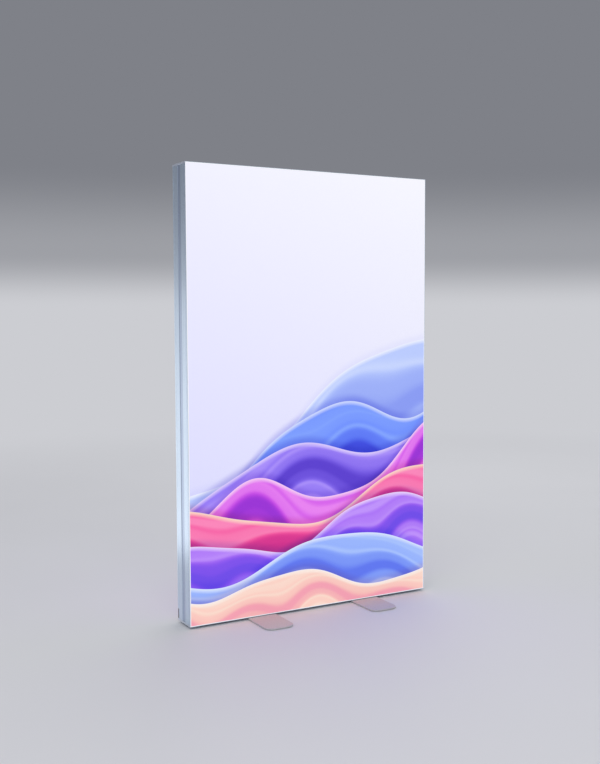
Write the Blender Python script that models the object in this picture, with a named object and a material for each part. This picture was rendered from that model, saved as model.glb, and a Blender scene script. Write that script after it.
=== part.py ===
"""Free-standing light box: two lit textile graphics stretched over a frame of aluminium profiles.

X runs across the graphics, Y from the front graphic to the rear one and Z up.
The origin is on the floor under the middle of the box.
"""

import math

import bmesh
import bpy
from mathutils import Matrix, Vector

MM = 0.001

# Gaps and cutters
FIT = 0.3 * MM
SLIDE_FIT = 0.5 * MM
OVERRUN = 5 * MM

# Whole box
BOX_WIDTH = 1219.2 * MM
BOX_HEIGHT = 1981.2 * MM
BOX_DEPTH = 140 * MM

# Profile section, inward from its outer face
SKIN = 1.8 * MM
WEB = 8 * MM
INNER_SKIN = 1.6 * MM
SLOT_GAP = 3.2 * MM
SLOT_DEPTH = 16 * MM
SLOT_FLOOR = 1.8 * MM
GROOVE_WIDTH = 32 * MM
GROOVE_DEPTH = 2 * MM
GROOVE_SLOPE = 2 * MM
LINE_INSET = 10 * MM
LINE_WIDTH = 1.2 * MM
LINE_DEPTH = 0.8 * MM
LIP_ROUNDING = 0.4 * MM
TRACK_WIDTH = 40 * MM
TRACK_MOUTH = 30 * MM
TRACK_HEIGHT = 6.3 * MM
TRACK_LIP = 1.7 * MM
RIB = 2 * MM
RIB_TOP = WEB + TRACK_HEIGHT + TRACK_LIP

# Graphics
FABRIC = 0.6 * MM
GASKET = 2.6 * MM
GASKET_DEPTH = 14 * MM

# Corner brackets and end caps
SLIDER = 5.4 * MM
SLIDER_WIDTH = TRACK_WIDTH - 2 * SLIDE_FIT
SLIDER_FOOT = WEB + FIT
SLIDER_TOP = SLIDER_FOOT + SLIDER
BRACKET_ARM = 110 * MM
BRACKET_FILLET = 3 * MM
BRACKET_HOLE = 6.6 * MM
BRACKET_HOLE_SHARES = (0.42, 0.82)
CAP = 1.8 * MM
CAP_TONGUE = 12 * MM

# Crossbar
CROSSBAR_DEPTH = 30 * MM
CROSSBAR_HEIGHT = 20 * MM
CROSSBAR_WALL = 1.5 * MM
CROSSBAR_PLATE = 70 * MM
CROSSBAR_SPIGOT = 25 * MM

# LED bars and lenses
BAR_CLEARANCE = 12 * MM
BAR_BASE = 1.6 * MM
BAR_WALL = 1.5 * MM
CONNECTOR_WIDTH = 16 * MM
CONNECTOR_LENGTH = 14 * MM
CONNECTOR_TOP = 17 * MM
CONNECTOR_OFFSET = -5 * MM
LENS_STRIP = 1.2 * MM
LENS_STRIP_WIDTH = 24 * MM
LENS_STRIP_INSET = 22 * MM
LENS_COUNT = 8
LENS_HEIGHT = 9 * MM
LENS_WIDTH = 22 * MM
LENS_LENGTH = 32 * MM
LENS_SIDES = 12
LENS_RINGS = 3

# Driver
DRIVER_LENGTH = 180 * MM
DRIVER_WIDTH = 60 * MM
DRIVER_HEIGHT = 34 * MM
DRIVER_FINS = 6
FIN_DEPTH = 2.5 * MM
FIN_GAP = 4 * MM
GLAND_RADIUS = 4.5 * MM
GLAND_LENGTH = 6 * MM
GLAND_OFFSET = 15 * MM
GLAND_HEIGHT = 15 * MM
MOUNT_LENGTH = 200 * MM
MOUNT_WIDTH = 64 * MM
MOUNT_PLATE = 2.5 * MM
MOUNT_KEY = 80 * MM
DRIVER_PLACE_SHARE = 0.586

# Leads
LEAD_RADIUS = 2.5 * MM
LEAD_BEND = 10 * MM
LEAD_RUN = 60 * MM
LEAD_POINT_COUNT = 28
LINK_POINT_COUNT = 16
LEAD_ROUND_STEPS = 2

# Inlet corner
NOTCH_DEPTH = 13 * MM
NOTCH_HEIGHT = 43 * MM
HOUSING_WIDTH = 70 * MM
HOUSING_WALL = 2.5 * MM
HOUSING_FLOOR = 3 * MM
HOUSING_RECESS = 15 * MM
HOUSING_INSET = 1.5 * MM
SOCKET_CENTRE = 29 * MM
SOCKET_WIDTH = 27.4 * MM
SOCKET_HEIGHT = 19.6 * MM
SOCKET_BODY = 18 * MM
SOCKET_FLANGE = 2 * MM
SOCKET_FLANGE_RIM = 2.5 * MM
SOCKET_MOUTH_WIDTH = 24.2 * MM
SOCKET_MOUTH_HEIGHT = 16.2 * MM
SOCKET_MOUTH_DEPTH = 15.5 * MM
SOCKET_CORNER = 4 * MM
PIN_LENGTH = 9 * MM
PIN_WIDTH = 2 * MM
PIN_HEIGHT = 4 * MM
PIN_PITCH = 7 * MM
PIN_RISE = 2 * MM
SWITCH_CENTRE = 55 * MM
SWITCH_WIDTH = 13 * MM
SWITCH_RADIUS = 10 * MM
SWITCH_TIP_RISE = 6.4 * MM
SWITCH_VALLEY = 4.6 * MM
SWITCH_TILT = math.radians(-8)
SWITCH_ARC_STEPS = 12
SWITCH_AXIS_DEPTH = 5.2 * MM
SWITCH_WALL = 1.6 * MM
SWITCH_STUD = 1.5 * MM
SWITCH_STUD_REACH = 1.2 * MM

# Feet
FOOT_INSET = 342.6 * MM
FOOT_WIDTH = 135 * MM
FOOT_LENGTH = 530 * MM
FOOT_PLATE = 6 * MM
FOOT_CORNER = 38 * MM
FOOT_EDGE = 0.8 * MM
BOLT_RADIUS = 5 * MM
BOLT_HEAD_RADIUS = 10 * MM
BOLT_HEAD_SINK = 0.3 * MM
BOLT_KEY_RADIUS = 3.5 * MM
BOLT_KEY_DEPTH = 3 * MM
WASHER = 1 * MM
WASHER_RADIUS = 20 * MM
NUT_PLATE_LENGTH = 80 * MM
PAD = 2 * MM
PAD_WIDTH = 90 * MM
PAD_LENGTH = 30 * MM
PAD_CORNER = 6 * MM
PAD_INSET = 42 * MM
ROUND_SIDES = 24
ARC_STEPS = 8
KEY_SIDES = 6

# Heights of the stack under the box
FOOT_BOTTOM = PAD + FIT
FOOT_TOP = FOOT_BOTTOM + FOOT_PLATE
BOX_BOTTOM = FOOT_TOP + FIT + WASHER + FIT

# Places that several pieces share
HALF_WIDTH = BOX_WIDTH / 2
HALF_DEPTH = BOX_DEPTH / 2
FOOT_OFFSET = HALF_WIDTH - FOOT_INSET
SLOT_END = SKIN + SLOT_GAP
UPRIGHT_BOTTOM = WEB + FIT
UPRIGHT_TOP = BOX_HEIGHT - WEB - FIT
RAIL_END = HALF_WIDTH - CAP - FIT
RIB_END = HALF_WIDTH - RIB_TOP - FIT
MIDDLE = BOX_HEIGHT / 2
NOTCH_TOP = UPRIGHT_BOTTOM + NOTCH_HEIGHT
BAR_BOTTOM = SLIDER_FOOT + BRACKET_ARM + BAR_CLEARANCE
BAR_TOP = MIDDLE - CROSSBAR_PLATE / 2 - BAR_CLEARANCE
BAR_LENGTH = BAR_TOP - BAR_BOTTOM
BRACKET_END = HALF_WIDTH - SLIDER_FOOT - BRACKET_ARM
NUT_PLATE_END = FOOT_OFFSET + NUT_PLATE_LENGTH / 2
DRIVER_CENTRE = -NUT_PLATE_END - (BRACKET_END - NUT_PLATE_END) * DRIVER_PLACE_SHARE
DRIVER_BOTTOM = RIB_TOP + FIT + MOUNT_PLATE + FIT
GLAND_Z = DRIVER_BOTTOM + GLAND_HEIGHT
FLOOR_Y = HALF_DEPTH - HOUSING_RECESS
SWITCH_AXIS_Y = FLOOR_Y - SWITCH_AXIS_DEPTH
HOUSING_MIDDLE_Z = UPRIGHT_BOTTOM + NOTCH_HEIGHT / 2

# Colours, linear, with roughness and metallic value
ALUMINIUM = ("anodised aluminium", (0.58, 0.62, 0.68), 0.35, 1.0)
FEET_STEEL = ("painted steel", (0.44, 0.42, 0.43), 0.4, 0.6)
ZINC_STEEL = ("zinc plated steel", (0.55, 0.56, 0.57), 0.35, 1.0)
LIT_TEXTILE = ("lit textile", (0.78, 0.77, 0.95), 0.9, 0.0)
SILICONE = ("white silicone", (0.75, 0.76, 0.76), 0.6, 0.0)
BLACK_PLASTIC = ("black plastic", (0.015, 0.015, 0.017), 0.45, 0.0)
RED_PLASTIC = ("red plastic", (0.45, 0.02, 0.02), 0.35, 0.0)
CLEAR_PLASTIC = ("clear plastic", (0.9, 0.93, 0.95), 0.1, 0.0)
WHITE_ENAMEL = ("white enamel", (0.8, 0.8, 0.8), 0.4, 0.0)
WHITE_PLASTIC = ("white plastic", (0.7, 0.7, 0.7), 0.5, 0.0)
RUBBER = ("rubber", (0.02, 0.02, 0.02), 0.8, 0.0)


def clear_scene():
    for obj in list(bpy.data.objects):
        bpy.data.objects.remove(obj)


def material(look):
    """A Principled material of its own for one piece."""
    name, colour, roughness, metallic = look
    made = bpy.data.materials.new(name)
    made.use_nodes = True
    shader = made.node_tree.nodes["Principled BSDF"]
    shader.inputs["Base Color"].default_value = (*colour, 1)
    shader.inputs["Roughness"].default_value = roughness
    shader.inputs["Metallic"].default_value = metallic
    return made


def empty(name, location, parent=None):
    made = bpy.data.objects.new(name, None)
    made.location = location
    made.parent = parent
    bpy.context.scene.collection.objects.link(made)
    return made


def place(name, mesh, look, parent, location=(0, 0, 0), rotation=(0, 0, 0)):
    """One named piece; copies of a piece may share the mesh."""
    obj = bpy.data.objects.new(name, mesh)
    obj.location = location
    obj.rotation_euler = rotation
    obj.parent = parent
    if not mesh.materials:
        mesh.materials.append(None)
    obj.material_slots[0].link = "OBJECT"
    obj.material_slots[0].material = material(look)
    bpy.context.scene.collection.objects.link(obj)
    return obj


def mesh_from(bm, name="shape"):
    bmesh.ops.recalc_face_normals(bm, faces=bm.faces)
    mesh = bpy.data.meshes.new(name)
    bm.to_mesh(mesh)
    bm.free()
    return mesh


def add_prism(bm, outline, start, end, axes="XYZ"):
    """Extrudes an outline of two coordinates along a third, the axes being named in that order."""
    spread = {"XYZ": (0, 1, 2), "XZY": (0, 2, 1), "YZX": (1, 2, 0)}[axes]

    def point(a, b, c):
        values = [0, 0, 0]
        values[spread[0]] = a
        values[spread[1]] = b
        values[spread[2]] = c
        return values

    low = [bm.verts.new(point(a, b, start)) for a, b in outline]
    high = [bm.verts.new(point(a, b, end)) for a, b in outline]
    bm.faces.new(low)
    bm.faces.new(high)
    for i in range(len(outline)):
        j = (i + 1) % len(outline)
        bm.faces.new((low[i], low[j], high[j], high[i]))


def add_box(bm, low, high):
    outline = [(low[0], low[1]), (high[0], low[1]), (high[0], high[1]), (low[0], high[1])]
    add_prism(bm, outline, low[2], high[2])


def prism(outline, start, end, axes="XYZ"):
    bm = bmesh.new()
    add_prism(bm, outline, start, end, axes)
    return mesh_from(bm)


def boxes(*corners):
    """Separate boxes in one mesh, each given by its low and high corner."""
    bm = bmesh.new()
    for low, high in corners:
        add_box(bm, low, high)
    return mesh_from(bm)


def lathe(profile, sides=ROUND_SIDES):
    """Turns (radius, height) points about Z; the first and last point lie on the axis."""
    bm = bmesh.new()
    rings = []
    for radius, height in profile:
        if radius == 0:
            rings.append([bm.verts.new((0, 0, height))])
            continue
        turns = (2 * math.pi * i / sides for i in range(sides))
        rings.append([bm.verts.new((radius * math.cos(t), radius * math.sin(t), height)) for t in turns])
    for low, high in zip(rings, rings[1:]):
        for i in range(sides):
            j = (i + 1) % sides
            corners = [low[i % len(low)], low[j % len(low)], high[j % len(high)], high[i % len(high)]]
            bm.faces.new(list(dict.fromkeys(corners)))
    return mesh_from(bm)


def cylinder(radius, start, end, sides=ROUND_SIDES):
    return lathe([(0, start), (radius, start), (radius, end), (0, end)], sides)


def moved(mesh, location, rotation=Matrix.Identity(3)):
    mesh.transform(Matrix.Translation(Vector(location)) @ rotation.to_4x4())
    return mesh


def combined(operation, mesh, *tools):
    """The mesh after one exact Boolean with each tool; the tools are used up."""
    for tool in tools:
        body = bpy.data.objects.new("body", mesh)
        other = bpy.data.objects.new("tool", tool)
        bpy.context.scene.collection.objects.link(body)
        bpy.context.scene.collection.objects.link(other)
        modifier = body.modifiers.new("Boolean", "BOOLEAN")
        modifier.operation = operation
        modifier.object = other
        graph = bpy.context.evaluated_depsgraph_get()
        result = bpy.data.meshes.new_from_object(body.evaluated_get(graph))
        bpy.data.objects.remove(body)
        bpy.data.objects.remove(other)
        bpy.data.meshes.remove(mesh)
        bpy.data.meshes.remove(tool)
        mesh = result
    return mesh


def joined(mesh, *tools):
    return combined("UNION", mesh, *tools)


def cut(mesh, *tools):
    return combined("DIFFERENCE", mesh, *tools)


def bevel(obj, width, segments=1):
    modifier = obj.modifiers.new("Rounding", "BEVEL")
    modifier.width = width
    modifier.segments = segments
    modifier.limit_method = "ANGLE"
    modifier.angle_limit = math.radians(40)


def smooth(mesh):
    mesh.shade_smooth()
    mesh.set_sharp_from_angle(angle=math.radians(35))
    return mesh


def rounded_rectangle(width, length, radius, steps=ARC_STEPS):
    points = []
    corners = ((1, 1), (-1, 1), (-1, -1), (1, -1))
    for quarter, (x_side, y_side) in enumerate(corners):
        for i in range(steps + 1):
            turn = math.pi / 2 * (quarter + i / steps)
            x = x_side * (width / 2 - radius) + radius * math.cos(turn)
            y = y_side * (length / 2 - radius) + radius * math.sin(turn)
            points.append((x, y))
    return points


def mirrored(half):
    """A closed outline from its half at positive depth."""
    return half + [(inward, -depth) for inward, depth in reversed(half)]


def web_outline():
    """Section of the profile's double wall: groove, shadow line, outer lip and gasket slot."""
    line = HALF_DEPTH - LINE_INSET
    face = HALF_DEPTH - FABRIC - FIT
    half = [
        (GROOVE_DEPTH, GROOVE_WIDTH / 2 - GROOVE_SLOPE),
        (0, GROOVE_WIDTH / 2),
        (0, line - LINE_WIDTH),
        (LINE_DEPTH, line - LINE_WIDTH),
        (LINE_DEPTH, line),
        (0, line),
        (0, HALF_DEPTH - LIP_ROUNDING),
        (LIP_ROUNDING, HALF_DEPTH),
        (SKIN, HALF_DEPTH),
        (SKIN, HALF_DEPTH - SLOT_DEPTH),
        (SLOT_END, HALF_DEPTH - SLOT_DEPTH),
        (SLOT_END, face),
        (WEB, face),
    ]
    return mirrored(half)


def rib_outline(side):
    """Section of one hooked rib of the inner track, its root sunk in the inner skin."""
    root = WEB - INNER_SKIN / 2
    inner = TRACK_WIDTH / 2
    mouth = TRACK_MOUTH / 2
    hook = RIB_TOP - TRACK_LIP
    half = [(root, inner), (root, inner + RIB), (RIB_TOP, inner + RIB)]
    half += [(RIB_TOP, mouth), (hook, mouth), (hook, inner)]
    return [(inward, side * depth) for inward, depth in half]


def profile(start, end, rib_start, rib_end):
    """A length of profile along Z, its outer face at X zero and its ribs shorter than its walls."""
    ribs = bmesh.new()
    for side in (1, -1):
        add_prism(ribs, rib_outline(side), rib_start, rib_end)
    body = joined(prism(web_outline(), start, end), mesh_from(ribs))
    side_start = TRACK_WIDTH / 2
    side_end = HALF_DEPTH - SLOT_DEPTH - SLOT_FLOOR
    middle = GROOVE_WIDTH / 2 - GROOVE_SLOPE
    roof = WEB - INNER_SKIN
    below = start - OVERRUN
    above = end + OVERRUN
    chambers = boxes(
        ((SKIN, side_start, below), (roof, side_end, above)),
        ((SKIN, -side_end, below), (roof, -side_start, above)),
        ((GROOVE_DEPTH + SKIN, -middle, below), (roof, middle, above)),
    )
    return cut(body, chambers)


def upright_mesh():
    return profile(UPRIGHT_BOTTOM, UPRIGHT_TOP, UPRIGHT_BOTTOM + RIB_TOP - WEB, UPRIGHT_TOP - RIB_TOP + WEB)


def notch_cutter():
    low = (-OVERRUN, HALF_DEPTH - NOTCH_DEPTH, UPRIGHT_BOTTOM - OVERRUN)
    high = (WEB + OVERRUN, HALF_DEPTH + OVERRUN, NOTCH_TOP)
    return boxes((low, high))


def rail_mesh(bolt_places=()):
    """A rail along Z as it leaves the press, with a hole through both walls at each bolt."""
    mesh = profile(-RAIL_END, RAIL_END, -RIB_END, RIB_END)
    turn = Matrix.Rotation(math.pi / 2, 3, "Y")
    for place_along in bolt_places:
        hole = cylinder(BOLT_RADIUS + SLIDE_FIT, -OVERRUN, WEB + OVERRUN)
        mesh = cut(mesh, moved(hole, (0, 0, place_along), turn))
    return mesh


def corners():
    """Name, location and rotation for what sits in each corner, drawn for the bottom left one."""
    half_turn = math.pi
    return (
        ("bottom_left", (-HALF_WIDTH, 0, 0), (0, 0, 0)),
        ("bottom_right", (HALF_WIDTH, 0, 0), (0, 0, half_turn)),
        ("top_left", (-HALF_WIDTH, 0, BOX_HEIGHT), (half_turn, 0, 0)),
        ("top_right", (HALF_WIDTH, 0, BOX_HEIGHT), (0, half_turn, 0)),
    )


def sides():
    """Name, location and rotation for what sits on each upright, drawn for the left one."""
    return (("left", (-HALF_WIDTH, 0, 0), (0, 0, 0)), ("right", (HALF_WIDTH, 0, 0), (0, 0, math.pi)))


def build_profiles(base):
    left = cut(upright_mesh(), notch_cutter())
    place("left_upright", left, ALUMINIUM, base, (-HALF_WIDTH, 0, 0))
    place("right_upright", upright_mesh(), ALUMINIUM, base, (HALF_WIDTH, 0, 0), (0, 0, math.pi))
    quarter = math.pi / 2
    bottom = rail_mesh((-FOOT_OFFSET, FOOT_OFFSET))
    place("bottom_rail", bottom, ALUMINIUM, base, (0, 0, 0), (0, -quarter, 0))
    place("top_rail", rail_mesh(), ALUMINIUM, base, (0, 0, BOX_HEIGHT), (0, quarter, 0))


def end_cap_mesh():
    """A cover over a rail's end, with tongues in its two side chambers."""
    plate = boxes(((0, -HALF_DEPTH, 0), (CAP, HALF_DEPTH, WEB)))
    near = TRACK_WIDTH / 2 + FIT
    far = HALF_DEPTH - SLOT_DEPTH - SLOT_FLOOR - FIT
    low = SKIN + FIT
    high = WEB - INNER_SKIN - FIT
    tongues = boxes(
        ((CAP / 2, near, low), (CAP + CAP_TONGUE, far, high)),
        ((CAP / 2, -far, low), (CAP + CAP_TONGUE, -near, high)),
    )
    return joined(plate, tongues)


def bracket_mesh():
    """An L of flat bar that lies in the tracks of a rail and an upright."""
    inner = SLIDER_TOP
    end = SLIDER_FOOT + BRACKET_ARM
    outline = [(SLIDER_FOOT, SLIDER_FOOT), (end, SLIDER_FOOT), (end, inner)]
    for i in range(ARC_STEPS // 2 + 1):
        turn = math.pi / 2 * i / (ARC_STEPS // 2)
        x = inner + BRACKET_FILLET * (1 - math.sin(turn))
        z = inner + BRACKET_FILLET * (1 - math.cos(turn))
        outline.append((x, z))
    outline += [(inner, end), (SLIDER_FOOT, end)]
    half = SLIDER_WIDTH / 2
    mesh = prism(outline, -half, half, "XZY")
    along_x = Matrix.Rotation(math.pi / 2, 3, "Y")
    for share in BRACKET_HOLE_SHARES:
        reach = SLIDER_FOOT + BRACKET_ARM * share
        start = SLIDER_FOOT - OVERRUN
        stop = SLIDER_TOP + OVERRUN
        sides_of_hole = ROUND_SIDES // 2
        upward = cylinder(BRACKET_HOLE / 2, start, stop, sides_of_hole)
        sideways = cylinder(BRACKET_HOLE / 2, start, stop, sides_of_hole)
        mesh = cut(mesh, moved(upward, (reach, 0, 0)), moved(sideways, (0, 0, reach), along_x))
    return mesh


def build_corners(base):
    cap = end_cap_mesh()
    bracket = bracket_mesh()
    for name, location, rotation in corners():
        place(f"{name}_end_cap", cap, ALUMINIUM, base, location, rotation)
        place(f"{name}_bracket", bracket, ZINC_STEEL, base, location, rotation)


def crossbar_bracket_mesh():
    """A plate in the upright's track with a spigot for the crossbar's end."""
    half = SLIDER_WIDTH / 2
    half_plate = CROSSBAR_PLATE / 2
    spigot_depth = CROSSBAR_DEPTH / 2 - CROSSBAR_WALL - FIT
    spigot_height = CROSSBAR_HEIGHT / 2 - CROSSBAR_WALL - FIT
    plate = boxes(((SLIDER_FOOT, -half, -half_plate), (SLIDER_TOP, half, half_plate)))
    tip = RIB_TOP + FIT + CROSSBAR_SPIGOT
    start = SLIDER_TOP - SLIDER / 2
    spigot = boxes(((start, -spigot_depth, -spigot_height), (tip, spigot_depth, spigot_height)))
    return joined(plate, spigot)


def build_crossbar(base):
    half_depth = CROSSBAR_DEPTH / 2
    half_height = CROSSBAR_HEIGHT / 2
    end = HALF_WIDTH - RIB_TOP - FIT
    tube = boxes(((-end, -half_depth, -half_height), (end, half_depth, half_height)))
    inner_depth = half_depth - CROSSBAR_WALL
    inner_height = half_height - CROSSBAR_WALL
    reach = end + OVERRUN
    bore = boxes(((-reach, -inner_depth, -inner_height), (reach, inner_depth, inner_height)))
    bar = place("crossbar", cut(tube, bore), WHITE_ENAMEL, base, (0, 0, MIDDLE))
    bevel(bar, CROSSBAR_WALL / 3)
    bracket = crossbar_bracket_mesh()
    for name, (x, y, _), rotation in sides():
        place(f"{name}_crossbar_bracket", bracket, ZINC_STEEL, base, (x, y, MIDDLE), rotation)


def led_bar_mesh():
    """A channel that lies in the upright's track, with a connector block at each end."""
    half = SLIDER_WIDTH / 2
    inner = half - BAR_WALL
    floor = SLIDER_FOOT + BAR_BASE
    outline = [
        (SLIDER_FOOT, half),
        (SLIDER_TOP, half),
        (SLIDER_TOP, inner),
        (floor, inner),
        (floor, -inner),
        (SLIDER_TOP, -inner),
        (SLIDER_TOP, -half),
        (SLIDER_FOOT, -half),
    ]
    channel = prism(outline, 0, BAR_LENGTH)
    low = CONNECTOR_OFFSET - CONNECTOR_WIDTH / 2
    high = CONNECTOR_OFFSET + CONNECTOR_WIDTH / 2
    root = floor - BAR_BASE / 2
    blocks = boxes(
        ((root, low, 0), (CONNECTOR_TOP, high, CONNECTOR_LENGTH)),
        ((root, low, BAR_LENGTH - CONNECTOR_LENGTH), (CONNECTOR_TOP, high, BAR_LENGTH)),
    )
    return joined(channel, blocks)


def add_dome(bm, root, middle):
    """Half an ellipsoid whose flat back is at the root, bulging along X."""
    rings = []
    for k in range(LENS_RINGS):
        lift = math.pi / 2 * k / LENS_RINGS
        ring = []
        for i in range(LENS_SIDES):
            turn = 2 * math.pi * i / LENS_SIDES
            x = root + LENS_HEIGHT * math.sin(lift)
            y = LENS_WIDTH / 2 * math.cos(lift) * math.cos(turn)
            z = middle + LENS_LENGTH / 2 * math.cos(lift) * math.sin(turn)
            ring.append(bm.verts.new((x, y, z)))
        rings.append(ring)
    top = bm.verts.new((root + LENS_HEIGHT, 0, middle))
    bm.faces.new(rings[0])
    for i in range(LENS_SIDES):
        j = (i + 1) % LENS_SIDES
        for low, high in zip(rings, rings[1:]):
            bm.faces.new((low[i], low[j], high[j], high[i]))
        bm.faces.new((rings[-1][i], rings[-1][j], top))


def lens_strip_mesh():
    """A clear strip with a row of domed lenses, on the floor of the LED bar."""
    back = SLIDER_FOOT + BAR_BASE + FIT
    half = LENS_STRIP_WIDTH / 2
    end = BAR_LENGTH - LENS_STRIP_INSET
    strip = boxes(((back, -half, LENS_STRIP_INSET), (back + LENS_STRIP, half, end)))
    domes = bmesh.new()
    pitch = (end - LENS_STRIP_INSET) / LENS_COUNT
    for i in range(LENS_COUNT):
        add_dome(domes, back + LENS_STRIP / 2, LENS_STRIP_INSET + pitch * (i + 1 / 2))
    return smooth(joined(strip, mesh_from(domes)))


def build_lighting(base):
    bar = led_bar_mesh()
    lenses = lens_strip_mesh()
    levels = (("lower", BAR_BOTTOM), ("upper", BOX_HEIGHT - BAR_BOTTOM - BAR_LENGTH))
    for side, (x, y, _), rotation in sides():
        for level, height in levels:
            place(f"{side}_{level}_led_bar", bar, ALUMINIUM, base, (x, y, height), rotation)
            place(f"{side}_{level}_lens_strip", lenses, CLEAR_PLASTIC, base, (x, y, height), rotation)


def driver_mount_mesh():
    """A plate on the track's hooks, with a key below them."""
    half_key = MOUNT_KEY / 2
    neck = TRACK_MOUTH / 2 - FIT
    key_half = SLIDER_WIDTH / 2
    plate_bottom = RIB_TOP + FIT
    key = boxes(((-half_key, -key_half, SLIDER_FOOT), (half_key, key_half, SLIDER_TOP)))
    neck_low = (-half_key, -neck, SLIDER_TOP - SLIDER / 2)
    neck_high = (half_key, neck, plate_bottom + MOUNT_PLATE / 2)
    plate_low = (-MOUNT_LENGTH / 2, -MOUNT_WIDTH / 2, plate_bottom)
    plate_high = (MOUNT_LENGTH / 2, MOUNT_WIDTH / 2, plate_bottom + MOUNT_PLATE)
    return joined(key, boxes((neck_low, neck_high)), boxes((plate_low, plate_high)))


def driver_mesh():
    """A finned metal case with a gland for each lead."""
    half = DRIVER_WIDTH / 2
    top = DRIVER_HEIGHT
    outline = [(-half, 0), (half, 0), (half, top)]
    pitch = DRIVER_WIDTH / DRIVER_FINS
    for i in range(1, DRIVER_FINS):
        middle = half - pitch * i
        near = middle + FIN_GAP / 2
        far = middle - FIN_GAP / 2
        outline += [(near, top), (near, top - FIN_DEPTH), (far, top - FIN_DEPTH), (far, top)]
    outline.append((-half, top))
    half_length = DRIVER_LENGTH / 2
    case = prism(outline, -half_length, half_length, "YZX")
    along_x = Matrix.Rotation(math.pi / 2, 3, "Y")
    start = half_length - OVERRUN
    end = half_length + GLAND_LENGTH
    sides_of_gland = ROUND_SIDES // 2
    glands = []
    for turn, y in ((-1, GLAND_OFFSET), (-1, -GLAND_OFFSET), (1, GLAND_OFFSET)):
        ends = sorted((turn * start, turn * end))
        gland = cylinder(GLAND_RADIUS, *ends, sides_of_gland)
        glands.append(moved(gland, (0, y, GLAND_HEIGHT), along_x))
    return joined(case, *glands)


def build_driver(base):
    place("driver_mount", driver_mount_mesh(), ZINC_STEEL, base, (DRIVER_CENTRE, 0, 0))
    place("led_driver", driver_mesh(), WHITE_ENAMEL, base, (DRIVER_CENTRE, 0, DRIVER_BOTTOM))


def smooth_route(points, count):
    """Points at even steps of a cubic B-spline that the route's points lead, from the first to the last."""
    route = [Vector(p) for p in points]
    ends = [2 * route[0] - route[1]] + route + [2 * route[-1] - route[-2]]
    found = []
    for i in range(count + 1):
        along = (len(route) - 1) * i / count
        k = min(int(along), len(route) - 2)
        t = along - k
        a, b, c, d = ends[k : k + 4]
        blend = a * (1 - t) ** 3 + b * (3 * t**3 - 6 * t**2 + 4)
        blend += c * (1 + 3 * t + 3 * t**2 - 3 * t**3) + d * t**3
        found.append(blend / 6)
    return found


def lead_object(name, points, count, base, location=(0, 0, 0), rotation=(0, 0, 0)):
    """A round lead along a route, closed at both ends."""
    curve = bpy.data.curves.new(name, "CURVE")
    curve.dimensions = "3D"
    curve.bevel_depth = LEAD_RADIUS
    curve.bevel_resolution = LEAD_ROUND_STEPS
    curve.use_fill_caps = True
    route = smooth_route(points, count)
    spline = curve.splines.new("POLY")
    spline.points.add(len(route) - 1)
    for target, found in zip(spline.points, route):
        target.co = (*found, 1)
    obj = bpy.data.objects.new(name, curve)
    obj.location = location
    obj.rotation_euler = rotation
    obj.parent = base
    curve.materials.append(material(WHITE_PLASTIC))
    bpy.context.scene.collection.objects.link(obj)
    return obj


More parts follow.
